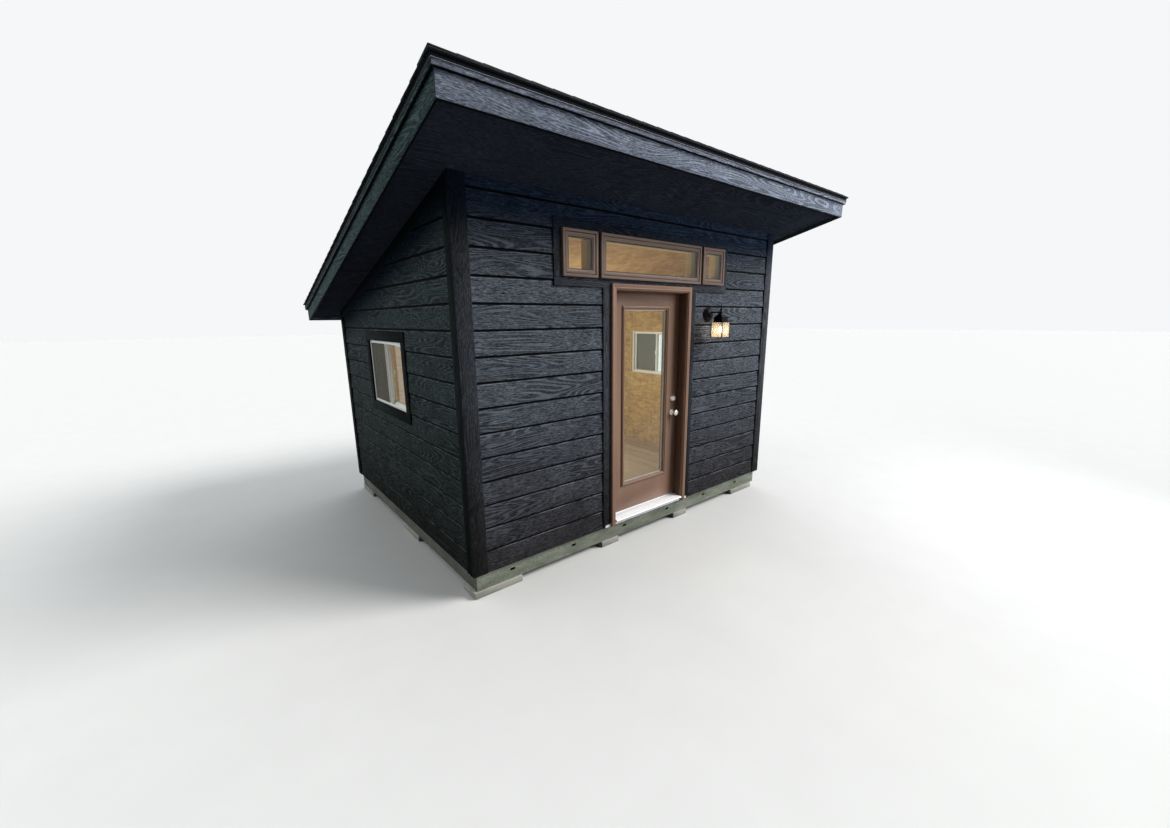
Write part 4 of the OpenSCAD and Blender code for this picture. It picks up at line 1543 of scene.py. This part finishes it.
@dataclass
class Shell(Assembly):
    """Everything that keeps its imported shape: walls, floor, structure and roof metal."""

    transom_bands: Span = (-1.3865, -1.3400)
    hem: float = 0.006

    def pieces(self) -> Iterator[Piece]:
        """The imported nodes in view, and those that only get worked edges."""
        for material, slot, nodes in (
            ("strand_board", "wall_wood",
             "front_wall_left front_wall_right front_wall_top back_wall left_wall right_wall "
             "roof_deck"),
            ("rafter_wood", "wall_wood", "rafters"),
            ("floor_planks", "floor_wood", "floor_deck"),
            ("soffit_panel", "siding", "soffit"),
            ("galvanised_steel", "galvanised", "rim_front rim_back"),
            # The side rims and joists take the darker copy: painted shade with some dirt.
            ("galvanised_dull", "galvanised", "rim_left rim_right floor_joists"),
            ("window_glass_clear", "glass", "transom_glass window_glass door_glass"),
            ("sill_aluminium", "sill_metal", "threshold"),
            ("satin_nickel", "nickel", "hinge_frame_leaves hinge_door_leaves door_knob deadbolt"),
            ("seeded_glass", "lantern_glass", "lantern_glass"),
            ("lantern_black", "lantern_black", "lantern_bracket lantern_cage"),
        ):
            for node in nodes.split():
                yield self.keep(node, material, slot)
        for node, width, material, body, slot in (
            ("foundation_blocks", 0.004, "cast_concrete", POD, "concrete"),
            # The door frame takes the darker brown: painted shade in the door's recess.
            ("door_frame", 0.0015, "jamb_brown", POD, "bronze_frame"),
            ("brickmould", 0.0012, "copper_brown", POD, "bronze_frame"),
            ("door_leaf", 0.0015, "leaf_brown", DOOR, "bronze_frame"),
            ("door_lite_frame", 0.0015, "leaf_brown", DOOR, "bronze_frame"),
            ("window_frames", 0.0012, "white_vinyl", POD, "white_vinyl"),
            ("window_sashes", 0.0012, "white_vinyl", POD, "white_vinyl"),
        ):
            yield self.dress(eased_copy(node, width), material, slot, body)
        yield self.transom_frames()
        yield self.drip_edge()

    def banded(
        self, piece: Piece, way: Vector, levels: Sequence[float], materials: Sequence[str]
    ) -> None:
        """Divides a piece by parallel planes and gives each part beyond one its own paint.

        Args:
            piece: The piece, with its first paint.
            way: The planes' normal.
            levels: Their distances from the origin along it.
            materials: The paint that starts at each plane.
        """
        for level, material in zip(levels, materials):
            cut_plane(piece, way * level, way, away=False)
            piece.data.materials.append(self.palette[material])
        for face in piece.data.polygons:
            face.material_index = sum(face.center.dot(way) > level for level in levels)

    def drip_edge(self) -> Piece:
        """The metal along the roof's edges, with a painted highlight along the hem at its lower
        edge.
        """
        piece = self.dress(eased_copy("drip_edge", 0.0006), "drip_metal", "dark_metal")
        down = -self.roof.up
        lowest = max(vertex.co.dot(down) for vertex in piece.data.vertices)
        self.banded(piece, down, [lowest - self.hem], ["drip_hem"])
        return piece

    def transom_frames(self) -> Piece:
        """The transom frames: brown outside, darker there as painted shade, pale behind the glass,
        bare wood to the room.
        """
        piece = self.dress(eased_copy("transom_frames", 0.0012), "bronze_dull", "bronze_frame")
        inwards = Vector((0.0, 1.0, 0.0))
        self.banded(piece, inwards, self.transom_bands, ("frame_inside", "pale_wood"))
        return piece


@dataclass
class RoomLining(Assembly):
    """Sheets, planks and window reveals inside the room."""

    room_x: float = 1.740
    room_y: Span = (-1.2695, 1.6005)
    floor_z: float = 0.2200
    sheet_t: float = 0.0035
    gap: float = 0.0003
    ceiling_gap: float = 0.00105
    joint: float = 0.003
    side_joints: tuple[float, ...] = (-0.985, 0.235, 1.455)
    back_joints: Span = (-0.61, 0.61)
    ceiling_joints: Span = (-0.42, 0.80)
    ceiling_butts: tuple[tuple[float, float, float], ...] = (
        (-0.50, -2.0, -0.42),
        (0.70, -0.42, 0.80),
        (-0.50, 0.80, 2.0),
    )
    back_top: float = 2.1355
    front_top: float = 2.9
    window: Hole = (-0.2575, 0.6685, 1.2275, 1.8225)
    front_holes: tuple[Hole, ...] = (
        (-0.560, 0.485, 0.0, 2.300),
        (-1.025, -0.690, 2.311, 2.646),
        (-0.658, 0.582, 2.311, 2.646),
        (0.614, 0.949, 2.311, 2.646),
    )
    plank: float = 0.18
    plank_z: Span = (0.0002, 0.0026)
    plank_gap: float = 0.0012
    plank_clear: Span = (0.004, 0.006)
    reveal_x: Span = (1.7345, 1.7700)
    reveal_t: float = 0.006
    reveal_gap: float = 0.0006

    def cut_slit(self, piece: Piece, axis: Grain, at: float, rest: Span | None = None) -> None:
        """Cuts an open joint between two sheets.

        Args:
            piece: The sheets.
            axis: The axis across the joint.
            at: Where the joint lies on it.
            rest: The joint's two ends along Y, or None for all the way through.
        """
        low, high = [-THROUGH, -THROUGH, 0.0], [THROUGH, THROUGH, THROUGH + 1.0]
        low[axis.value], high[axis.value] = at - self.joint / 2, at + self.joint / 2
        if rest:
            low[1], high[1] = rest
        cut_box(piece, low, high)

    def walls(self) -> Piece:
        """Sheets on the four walls, with open joints and holes for the windows and door."""
        (front_y, back_y), foot = self.room_y, self.floor_z + self.joint
        face_x, face_y = self.room_x - self.gap, back_y - self.gap
        y0, y1, z0, z1 = self.window
        sheets = []
        for side in Side:
            x0, x1 = side.span(face_x, face_x - self.sheet_t)
            low, high = (x0, front_y + self.gap, foot), (x1, face_y, self.front_top)
            sheet = start_box("side_sheet", low, high)
            cut_box(sheet, (-THROUGH, y0, z0), (THROUGH, y1, z1))
            for y in self.side_joints:
                self.cut_slit(sheet, Grain.ALONG_Y, y)
            sheets.append(sheet)
        reach = self.room_x - self.sheet_t - 0.001
        back = start_box(
            "back_sheet", (-reach, face_y - self.sheet_t, foot), (reach, face_y, self.back_top)
        )
        for x in self.back_joints:
            self.cut_slit(back, Grain.ALONG_X, x)
        face_y = front_y + self.gap
        front = start_box(
            "front_sheet", (-reach, face_y, foot), (reach, face_y + self.sheet_t, self.front_top)
        )
        for x0, x1, z0, z1 in self.front_holes:
            cut_box(front, (x0, -THROUGH, z0), (x1, THROUGH, z1))
        lining = join_all([*sheets, back, front], "wall_sheets")
        self.roof.trim(lining, self.ceiling_gap)
        return self.dress(ease(lining, 0.0006, 1), "strand_board", "wall_wood")

    def ceiling(self) -> Piece:
        """Ceiling sheets with open joints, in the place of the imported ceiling."""
        sheets = eased_copy("ceiling", 0.0006, segments=1)
        for y in self.ceiling_joints:
            self.cut_slit(sheets, Grain.ALONG_Y, y)
        for x, y0, y1 in self.ceiling_butts:
            self.cut_slit(sheets, Grain.ALONG_X, x, (y0, y1))
        smooth(sheets)
        return self.dress(sheets, "ceiling_board", "wall_wood")

    def planks(self) -> Piece:
        """Floor planks that run away from the door, on the deck."""
        z0, z1 = (self.floor_z + z for z in self.plank_z)
        clear, behind = self.plank_clear
        end = self.room_x - clear
        stock = start_box(
            "plank_stock", (0.0, self.room_y[0] + clear, z0), (1.0, self.room_y[1] - behind, z1)
        )
        laid = []
        x = -end
        while x < self.room_x - 0.02:
            w = min(self.plank, end - x) - self.plank_gap
            laid.append(lay(stock, "plank", Matrix.Translation((x, 0.0, 0.0)), (w, 1.0, 1.0)))
            x += self.plank
        discard(stock)
        floor = ease(join_all(laid, "floor_planks"), 0.0012)
        return self.dress(floor, "floor_planks", "floor_wood")

    def reveals(self) -> Piece:
        """Pale boards round the inside of the two window openings."""
        y0, y1, z0, z1 = self.window
        gap = self.reveal_gap
        spans = [side.span(*self.reveal_x) for side in Side]
        boxes = [((a, y0 + gap, z0 + gap), (b, y1 - gap, z1 - gap)) for a, b in spans]
        boards = self.rings("window_reveals", boxes, self.reveal_t, Grain.ALONG_X, 0.0012)
        return self.dress(boards, "pale_wood", "wall_wood")

    def pieces(self) -> Iterator[Piece]:
        """The lining."""
        yield from (self.walls(), self.ceiling(), self.planks(), self.reveals())


@dataclass
class WindowFittings(Assembly):
    """Glazing seals of the transom windows, and the fittings of the side windows.

    The latch's X values are those of its base's back, its base's front and its lever's tip.
    """

    seal_bite: float = 0.0036
    seal_w: float = 0.0055
    seal_proud: float = 0.0018
    spacer_bite: Place = (0.0012, 0.0045, 0.0045)
    spacer_w: float = 0.007
    latch_x: tuple[float, float, float] = (1.7913, 1.7853, 1.7743)
    latch_y: float = 0.2175
    latch_z: float = 1.525
    base_half: Span = (0.009, 0.034)
    lever_half: float = 0.006
    lever_z: Span = (-0.007, 0.030)
    lever_lean: float = 0.005
    screen_x: Span = (1.8415, 1.8500)
    screen_y: Span = (0.2160, 0.6530)
    screen_z: Span = (1.2430, 1.8070)
    screen_w: float = 0.008
    screen_bite: float = 0.007
    mesh_half: float = 0.0002

    def seals(self) -> Piece:
        """Dark seals on both faces of the transom panes."""
        bite, proud = self.seal_bite, self.seal_proud
        boxes = [
            ((low.x + bite, y, low.z + bite), (high.x - bite, y + proud, high.z - bite))
            for low, high in solids_of("transom_glass")
            for y in (low.y - proud, high.y)
        ]
        piece = self.rings("transom_seals", boxes, self.seal_w, Grain.ALONG_Y, 0.0005, 1)
        return self.dress(piece, "rubber_seal", "dark_metal")

    def spacers(self) -> Piece:
        """Metal spacers round the edge of the side window panes."""
        bite = Vector(self.spacer_bite)
        boxes = [(low + bite, high - bite) for low, high in solids_of("window_glass")]
        piece = self.rings("pane_spacers", boxes, self.spacer_w, Grain.ALONG_X, 0.0004, 1)
        return self.dress(piece, "spacer_metal", "white_vinyl")

    def latches(self) -> Piece:
        """A cam latch on the meeting stile of each sliding sash, on the room side."""
        y, z = self.latch_y, self.latch_z
        back, front, tip = self.latch_x
        parts = []
        (dy, dz), half, (foot, head) = self.base_half, self.lever_half, self.lever_z
        for side in Side:
            x0, x1 = side.span(back, front)
            base = start_box("latch_base", (x0, y - dy, z - dz), (x1, y + dy, z + dz))
            x0, x1 = side.span(front, tip)
            lever = start_box("latch_lever", (x0, y - half, z + foot), (x1, y + half, z + head))
            lean = (-side.value * self.lever_lean, 0.0, 0.0)
            shift(lever, lambda co: co.z > z and abs(co.x) > front - NEAR, lean)
            parts += [ease(base, 0.0025), ease(lever, 0.0018)]
        return self.dress(join_all(parts, "window_latches"), "white_vinyl", "white_vinyl")

    def screens(self) -> Iterator[Piece]:
        """The insect screen over the far half of each window: slim frames and dark mesh."""
        (y0, y1), (z0, z1) = self.screen_y, self.screen_z
        spans = [side.span(*self.screen_x) for side in Side]
        boxes = [((a, y0, z0), (b, y1, z1)) for a, b in spans]
        frames = self.rings("screen_frames", boxes, self.screen_w, Grain.ALONG_X, 0.001)
        yield self.dress(frames, "white_vinyl", "white_vinyl")
        bite, half = self.screen_bite, self.mesh_half
        sheets = []
        for a, b in spans:
            x = (a + b) / 2
            low, high = (x - half, y0 + bite, z0 + bite), (x + half, y1 - bite, z1 - bite)
            sheets.append(start_box("screen_sheet", low, high))
            with picking(sheets[-1]):
                bpy.ops.mesh.subdivide(number_cuts=6)
        yield self.dress(join_all(sheets, "screen_mesh"), "insect_screen", "dark_metal")

    def pieces(self) -> Iterator[Piece]:
        """The fittings."""
        yield from (self.seals(), self.spacers(), self.latches(), *self.screens())


@dataclass
class EntryDoorFittings(Assembly):
    """Seals, spacer, strikes, keyholes and screws of the entry door."""

    jamb_x: Span = (-0.496, 0.420)
    stop_x: Span = (-0.483, 0.407)
    stop_y: float = -1.3185
    leaf_x: Span = (-0.491, 0.415)
    leaf_y: Span = (-1.3135, -1.2695)
    leaf_z: Span = (0.255, 2.229)
    frame_top: float = 2.234
    lock_x: float = 0.345
    lock_z: Span = (1.100, 1.240)
    spacer_bite: Place = (0.0120, 0.0040, 0.0120)
    spacer_w: float = 0.0085
    seal_t: float = 0.0022
    seal_w: float = 0.0024
    strip_h: float = 0.011
    rib_end: float = 0.004
    rib_w: float = 0.008
    rib_pitch: float = 0.014
    rib_z: Span = (-0.0038, -0.0002)
    plate_half: Span = (0.0125, 0.0285)
    bore_half: Span = (0.007, 0.011)
    screw_lift: float = 0.021
    screw_r: float = 0.0034
    slot_half: Span = (0.0004, 0.0025)
    plug_r: float = 0.0062
    keyway_half: Span = (0.0011, 0.0042)
    past: float = 0.01

    def spacer(self) -> Piece:
        """The metal spacer between the sheets of the door glass."""
        bite = Vector(self.spacer_bite)
        boxes = [(low + bite, high - bite) for low, high in solids_of("door_glass")]
        ring = self.rings("door_glass_spacer", boxes, self.spacer_w, Grain.ALONG_Y, 0.0008)
        return self.dress(ring, "spacer_metal", "nickel", DOOR)

    def lite_seal(self) -> Piece:
        """The thin dark seal between the glazing frame and the leaf."""
        low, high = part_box("door_lite_frame")
        t, face = self.seal_t, self.leaf_y[0]
        box = (low[0] - t, face - t, low[2] - t), (high[0] + t, face - 0.0001, high[2] + t)
        ring = self.rings("door_lite_seal", [box], self.seal_w, Grain.ALONG_Y, 0.0006)
        return self.dress(ring, "rubber_seal", "dark_metal", DOOR)

    def weather_strips(self) -> Piece:
        """Soft seals on the stops of the frame."""
        y0, y1 = self.stop_y + 0.0002, self.leaf_y[0] - 0.0012
        z0, z1 = self.leaf_z[0] + 0.002, self.frame_top - 0.002
        strips = []
        for jamb, stop in zip(self.jamb_x, self.stop_x):
            x0, x1 = sorted((jamb + math.copysign(0.001, stop - jamb), stop))
            strips.append(start_box("strip", (x0, y0, z0), (x1, y1, z1)))
        x0, x1 = self.stop_x
        strips.append(start_box("strip", (x0 + 0.001, y0, z1 - self.strip_h), (x1 - 0.001, y1, z1)))
        piece = ease(join_all(strips, "weather_strips"), 0.0014, 3)
        return self.dress(piece, "rubber_seal", "dark_metal")

    def sweep(self) -> Piece:
        """The ribbed seal under the leaf."""
        (x0, x1), end = self.leaf_x, self.rib_end
        z0, z1 = (self.leaf_z[0] + z for z in self.rib_z)
        ribs = [
            start_box("sweep_rib", (x0 + end, y, z0), (x1 - end, y + self.rib_w, z1))
            for y in (self.leaf_y[0] + end + number * self.rib_pitch for number in range(3))
        ]
        piece = ease(join_all(ribs, "door_sweep"), 0.0012)
        return self.dress(piece, "rubber_seal", "dark_metal", DOOR)

    def keyholes(self) -> Piece:
        """A keyway in the middle of the knob and of the deadbolt."""
        parts = []
        x = self.lock_x
        for node, z in zip(("door_knob", "deadbolt"), self.lock_z):
            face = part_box(node)[0][1]
            base = (x, face - 0.0004, z)
            plug = start_rod("key_plug", base, self.plug_r, 0.0012, Grain.ALONG_Y)
            dx, dz = self.keyway_half
            low, high = (x - dx, face - self.past, z - dz), (x + dx, face + 0.0002, z + dz)
            cut_box(plug, low, high)
            parts.append(ease(plug, 0.0002, 1))
        return self.dress(join_all(parts, "key_plugs"), "satin_nickel", "nickel", DOOR)

    def lock_plate(self, span: Span, z: float) -> list[Piece]:
        """One plate with a hole for its bolt and two slotted screws.

        Args:
            span: The X values of its faces.
            z: Height of its middle.

        Returns:
            The plate and its screws.
        """
        (x0, x1), y = span, sum(self.leaf_y) / 2
        dy, dz = self.plate_half
        plate = start_box("plate", (x0, y - dy, z - dz), (x1, y + dy, z + dz))
        dy, dz = self.bore_half
        cut_box(plate, (x0 - self.past, y - dy, z - dz), (x1 + self.past, y + dy, z + dz))
        parts = [ease(plate, 0.0004)]
        for mid in (z - self.screw_lift, z + self.screw_lift):
            base, length = (x0 - 0.0002, y, mid), x1 - x0 + 0.0004
            screw = start_rod("screw", base, self.screw_r, length, Grain.ALONG_X, 16)
            dy, dz = self.slot_half
            low, high = (x0 - self.past, y - dy, mid - dz), (x0 + 0.0001, y + dy, mid + dz)
            cut_box(screw, low, high)
            parts.append(screw)
        return parts

    def strikes(self) -> Iterator[Piece]:
        """Strike plates in the jamb and face plates on the leaf's edge."""
        jamb, leaf = self.jamb_x[1], self.leaf_x[1]
        for name, span, body in (
            ("strike_plates", (jamb - 0.0013, jamb - 0.0001), POD),
            ("latch_plates", (leaf + 0.0001, leaf + 0.0011), DOOR),
        ):
            parts = [part for z in self.lock_z for part in self.lock_plate(span, z)]
            piece = join_all(parts, name)
            smooth(piece)
            yield self.dress(piece, "satin_nickel", "nickel", body)

    def pieces(self) -> Iterator[Piece]:
        """The fittings."""
        yield from (self.spacer(), self.lite_seal(), self.weather_strips(), self.sweep())
        yield from (self.keyholes(), *self.strikes())


@dataclass
class FloorFittings(Assembly):
    """Folded metal under the threshold and the bonding lug on the floor frame."""

    board_face: float = -1.3905
    strip_x: Span = (-0.4825, 0.4065)
    strip_y: Span = (0.0002, 0.0014)
    strip_z: Span = (0.190, 0.2185)
    strip_lean: float = 0.003
    end_x: tuple[Span, Span] = ((-0.600, -0.5406), (0.4646, 0.509))
    end_y: Span = (0.0002, 0.0016)
    end_z: Span = (0.1895, 0.2150)
    end_fall: float = 0.006
    lug: Place = (-1.829, -1.268, 0.166)

    def pan(self) -> Piece:
        """The sill pan: a strip under the threshold's nose and its two turned ends."""
        (x0, x1), face = self.strip_x, self.board_face
        (back, front), (z0, z1) = self.strip_y, self.strip_z
        strip = start_box("pan_strip", (x0, face - front, z0), (x1, face - back, z1))
        shift(
            strip,
            lambda a, b: max(a.z, b.z) < z0 + NEAR and max(a.y, b.y) < face - NEAR,
            (0.0, -self.strip_lean, 0.0),
            Pick.EDGE,
        )
        parts = [strip]
        for x0, x1 in self.end_x:
            (back, front), (z0, z1) = self.end_y, self.end_z
            low, high = (x0, TRIM_FACE_Y - front, z0), (x1, TRIM_FACE_Y - back, z1)
            end = start_box("pan_end", low, high)
            outer = x0 if x0 < 0 else x1
            fall = (0.0, 0.0, -self.end_fall)
            shift(end, lambda co: abs(co.x - outer) < NEAR and co.z > z1 - NEAR, fall)
            parts.append(end)
        piece = ease(join_all(parts, "sill_pan"), 0.0004, 1)
        return self.dress(piece, "sill_aluminium", "sill_metal")

    def bonding_lug(self) -> Piece:
        """A small clamp bolted to the left channel near its front end."""
        spot = Vector(self.lug)
        base, body = (
            start_box(name, spot + Vector(low), spot + Vector(high))
            for name, low, high in (
                ("lug_base", (-0.004, -0.010, -0.016), (-0.0002, 0.010, 0.016)),
                ("lug_body", (-0.015, -0.007, -0.012), (-0.004, 0.007, 0.002)),
            )
        )
        cut_box(body, spot + Vector((-0.012, -0.02, -0.008)), spot + Vector((-0.006, 0.02, -0.002)))
        screw, bolt = (
            start_rod(name, spot + Vector(foot), radius, length, axis, sides)
            for name, foot, radius, length, axis, sides in (
                ("lug_screw", (-0.0095, 0.0, 0.001), 0.0035, 0.008, Grain.ALONG_Z, 16),
                ("lug_bolt", (-0.008, 0.0, 0.009), 0.0045, 0.005, Grain.ALONG_X, 6),
            )
        )
        parts = [ease(base, 0.001), ease(body, 0.001), ease(screw, 0.0005), ease(bolt, 0.0005)]
        return self.dress(join_all(parts, "bonding_lug"), "satin_nickel", "nickel")

    def pieces(self) -> Iterator[Piece]:
        """The fittings."""
        yield from (self.pan(), self.bonding_lug())


@dataclass(frozen=True)
class Lamp:
    """One lamp.

    Attributes:
        name: Its name.
        kind: Its type.
        energy: Its watts, or its strength where it is a sun.
        size: What its breadth is called, and its value; degrees where it is a sun.
        colour: Its colour.
        place: Where it stands.
        toward: The direction that it shines from, or None where it shines all round.
        hidden: Whether mirrors leave it out, as the camera does with every lamp.
    """

    name: str
    kind: str
    energy: float
    size: tuple[str, float]
    colour: Colour = WHITE
    place: Place = (0.0, 0.0, 0.0)
    toward: Place | None = None
    hidden: bool = False

    def build(self) -> None:
        """Adds the lamp to the scene."""
        data = bpy.data.lights.new(self.name, self.kind)
        data.energy, data.color = self.energy, self.colour
        breadth, value = self.size
        setattr(data, breadth, math.radians(value) if self.kind == "SUN" else value)
        lamp = bpy.data.objects.new(self.name, data)
        lamp.location = self.place
        if self.toward:
            lamp.rotation_euler = Vector(self.toward).to_track_quat("Z", "Y").to_euler()
        lamp.visible_glossy = not self.hidden
        bpy.context.scene.collection.objects.link(lamp)


@dataclass
class LanternLamp(Assembly):
    """The bulb inside the lantern, its socket and its light."""

    centre: Place = (0.755, -1.5375, 1.957)
    socket_drop: float = 0.035
    socket_r: float = 0.014
    socket_h: float = 0.034
    bulb_drop: float = 0.072
    bulb_r: float = 0.021
    neck: float = 0.066
    neck_shape: Place = (0.55, 0.55, 1.9)
    light_drop: float = 0.075

    def pieces(self) -> Iterator[Piece]:
        """The socket and the bulb."""
        x, y, top = self.centre
        base = (x, y, top - self.socket_drop)
        socket = start_rod("lamp_socket", base, self.socket_r, self.socket_h, Grain.ALONG_Z)
        yield self.dress(ease(socket, 0.002), "lantern_black", "lantern_black")
        make_active()
        bpy.ops.mesh.primitive_uv_sphere_add(
            segments=24, ring_count=16, radius=self.bulb_r, location=(x, y, top - self.bulb_drop)
        )
        bulb = take_new("lamp_bulb")
        neck = top - self.neck
        with picking(bulb, Pick.VERT, lambda co: co.z > neck):
            bpy.ops.transform.resize(value=self.neck_shape, center_override=(x, y, neck))
        apply_new_modifier(bulb, "SUBSURF", levels=1, render_levels=1)
        smooth(bulb, 80.0)
        bulb.visible_shadow = False
        glow, spot = (1.0, 0.70, 0.42), (x, y, top - self.light_drop)
        Lamp("lantern_light", "POINT", 0.5, ("shadow_soft_size", 0.012), glow, spot).build()
        yield self.dress(bulb, "lit_bulb", "lantern_glass")


@dataclass
class Studio(Assembly):
    """Camera, lamps, floor and background."""

    place: Place = (-3.1316, -4.2353, 2.0023)
    yaw: float = 0.6841
    pitch: float = -0.2162
    roll: float = -0.0100
    focal_share: float = 462.926 / 1170
    sensor: float = 36.0
    off_centre: Span = (-0.00055, 0.005615)
    clip: Span = (0.05, 200.0)
    backdrop: Colour = (0.92, 0.93, 0.94)
    sky: Colour = (0.93, 0.97, 1.0)
    bright_way: Place = (0.75, 0.66, 0.0)
    horizon: float = 0.55
    zenith: float = 3.5
    falloff: float = 2.0
    floor_size: float = 160.0
    floor_z: float = -0.0015
    floor_seen: Colour = (0.61, 0.61, 0.605)
    floor_lit: Colour = (0.12, 0.12, 0.12)
    softbox: Place = (3.8, -5.2, 2.9)
    softbox_aim: Place = (0.9, -1.7, 2.2)

    def camera(self) -> Piece:
        """Sets the camera where the photograph was taken from."""
        sine, cosine = math.sin(self.yaw), math.cos(self.yaw)
        level = math.cos(self.pitch)
        forward = Vector((sine * level, cosine * level, math.sin(self.pitch)))
        right = Vector((cosine, -sine, 0.0))
        up = right.cross(forward)
        across = math.cos(self.roll) * right + math.sin(self.roll) * up
        rise = -math.sin(self.roll) * right + math.cos(self.roll) * up
        data = bpy.data.cameras.new("camera")
        data.sensor_width = self.sensor
        data.lens = self.focal_share * self.sensor
        data.shift_x, data.shift_y = self.off_centre
        data.clip_start, data.clip_end = self.clip
        camera = bpy.data.objects.new("camera", data)
        turn = Matrix((across, rise, -forward)).transposed().to_4x4()
        camera.matrix_world = Matrix.Translation(self.place) @ turn
        bpy.context.scene.collection.objects.link(camera)
        bpy.context.scene.camera = camera
        return camera

    def world(self) -> None:
        """Sets soft light that is strongest overhead, over a pale background."""
        world = bpy.data.worlds.new("studio")
        bpy.context.scene.world = world
        world.use_nodes = True
        nodes = Nodes(world.node_tree)
        way = nodes.node("TexCoord").outputs["Generated"]
        height = nodes.node("SeparateXYZ", {0: way}).outputs["Z"]
        across = nodes.node("VectorMath", {0: way, 1: self.bright_way}, operation="DOT_PRODUCT")
        share = nodes.band(across.outputs["Value"], -1.0, 1.0)
        strength = nodes.times(
            nodes.band(height, 0.0, 1.0, self.horizon, self.zenith),
            nodes.math("POWER", share, self.falloff),
        )
        light = nodes.node("Background", {"Color": self.sky, "Strength": strength}).outputs[0]
        seen = nodes.node("Background", {"Color": self.backdrop, "Strength": 1.0}).outputs[0]
        nodes.node("OutputWorld", {0: nodes.layered(nodes.shown_rays(), light, seen)})

    def floor(self) -> Piece:
        """Lays the floor: pale where it is seen, dull where it would light the pod from below."""
        make_active()
        bpy.ops.mesh.primitive_plane_add(size=self.floor_size, location=(0.0, 0.0, self.floor_z))
        floor = take_new("floor")
        recipe = Recipe("pale_floor")
        tone = recipe.band(recipe.noise(3.0), 0.3, 0.7)
        colour = recipe.mix(tone, tuple(c * 0.97 for c in self.floor_seen), self.floor_seen)
        colour = recipe.mix(recipe.shown_rays(), self.floor_lit, colour)
        paint(floor, recipe.principled(colour, 0.9, Specular_IOR_Level=0.1))
        floor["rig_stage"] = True
        return floor

    def pieces(self) -> Iterator[Piece]:
        """The camera and the floor, with the lamps and the background set."""
        aim = Vector(self.softbox) - Vector(self.softbox_aim)
        sun, soft = "angle", "shadow_soft_size"
        for lamp in (
            Lamp("key", "SUN", 3.5, (sun, 30.0), (1.0, 0.985, 0.96), toward=(0.62, -0.50, 0.60)),
            Lamp("fill", "SUN", 0.07, (sun, 60.0), (0.96, 0.98, 1.0), toward=(0.25, -0.90, 0.36)),
            Lamp("side", "SUN", 1.12, (sun, 60.0), (0.96, 1.0, 0.98), toward=(-0.80, 0.40, 0.45)),
            Lamp("softbox", "AREA", 84.0, ("size", 1.8), WHITE, self.softbox, aim, hidden=True),
            Lamp(
                "room_lamp", "POINT", 60.0, (soft, 0.22), (1.0, 0.96, 0.88), (0.1, 0.25, 1.35),
                hidden=True,
            ),
        ):
            lamp.build()
        self.world()
        bpy.context.scene.view_settings.view_transform = "Standard"
        yield from (self.camera(), self.floor())


def write_sizes() -> None:
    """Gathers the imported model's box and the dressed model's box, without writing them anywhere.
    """
    boxes = {
        name: [list(corner) for corner in box]
        for name, box in (("cad", CAD_BOX), ("visual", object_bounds()))
    }


def main() -> None:
    """Builds the sub-assemblies in order and reports each one."""
    logging.basicConfig(level=logging.INFO, format="%(name)s: %(message)s")
    palette = Palette()
    palette.build()
    for kind in (
        Studio,
        Shell,
        TrimWork,
        LapSiding,
        ShingleRoof,
        RoomLining,
        WindowFittings,
        EntryDoorFittings,
        FloorFittings,
        LanternLamp,
    ):
        names = kind(palette).build()
        LOG.info("%s: %s", kind.__name__, ", ".join(names))
    write_sizes()


if __name__ == "__main__":
    main()
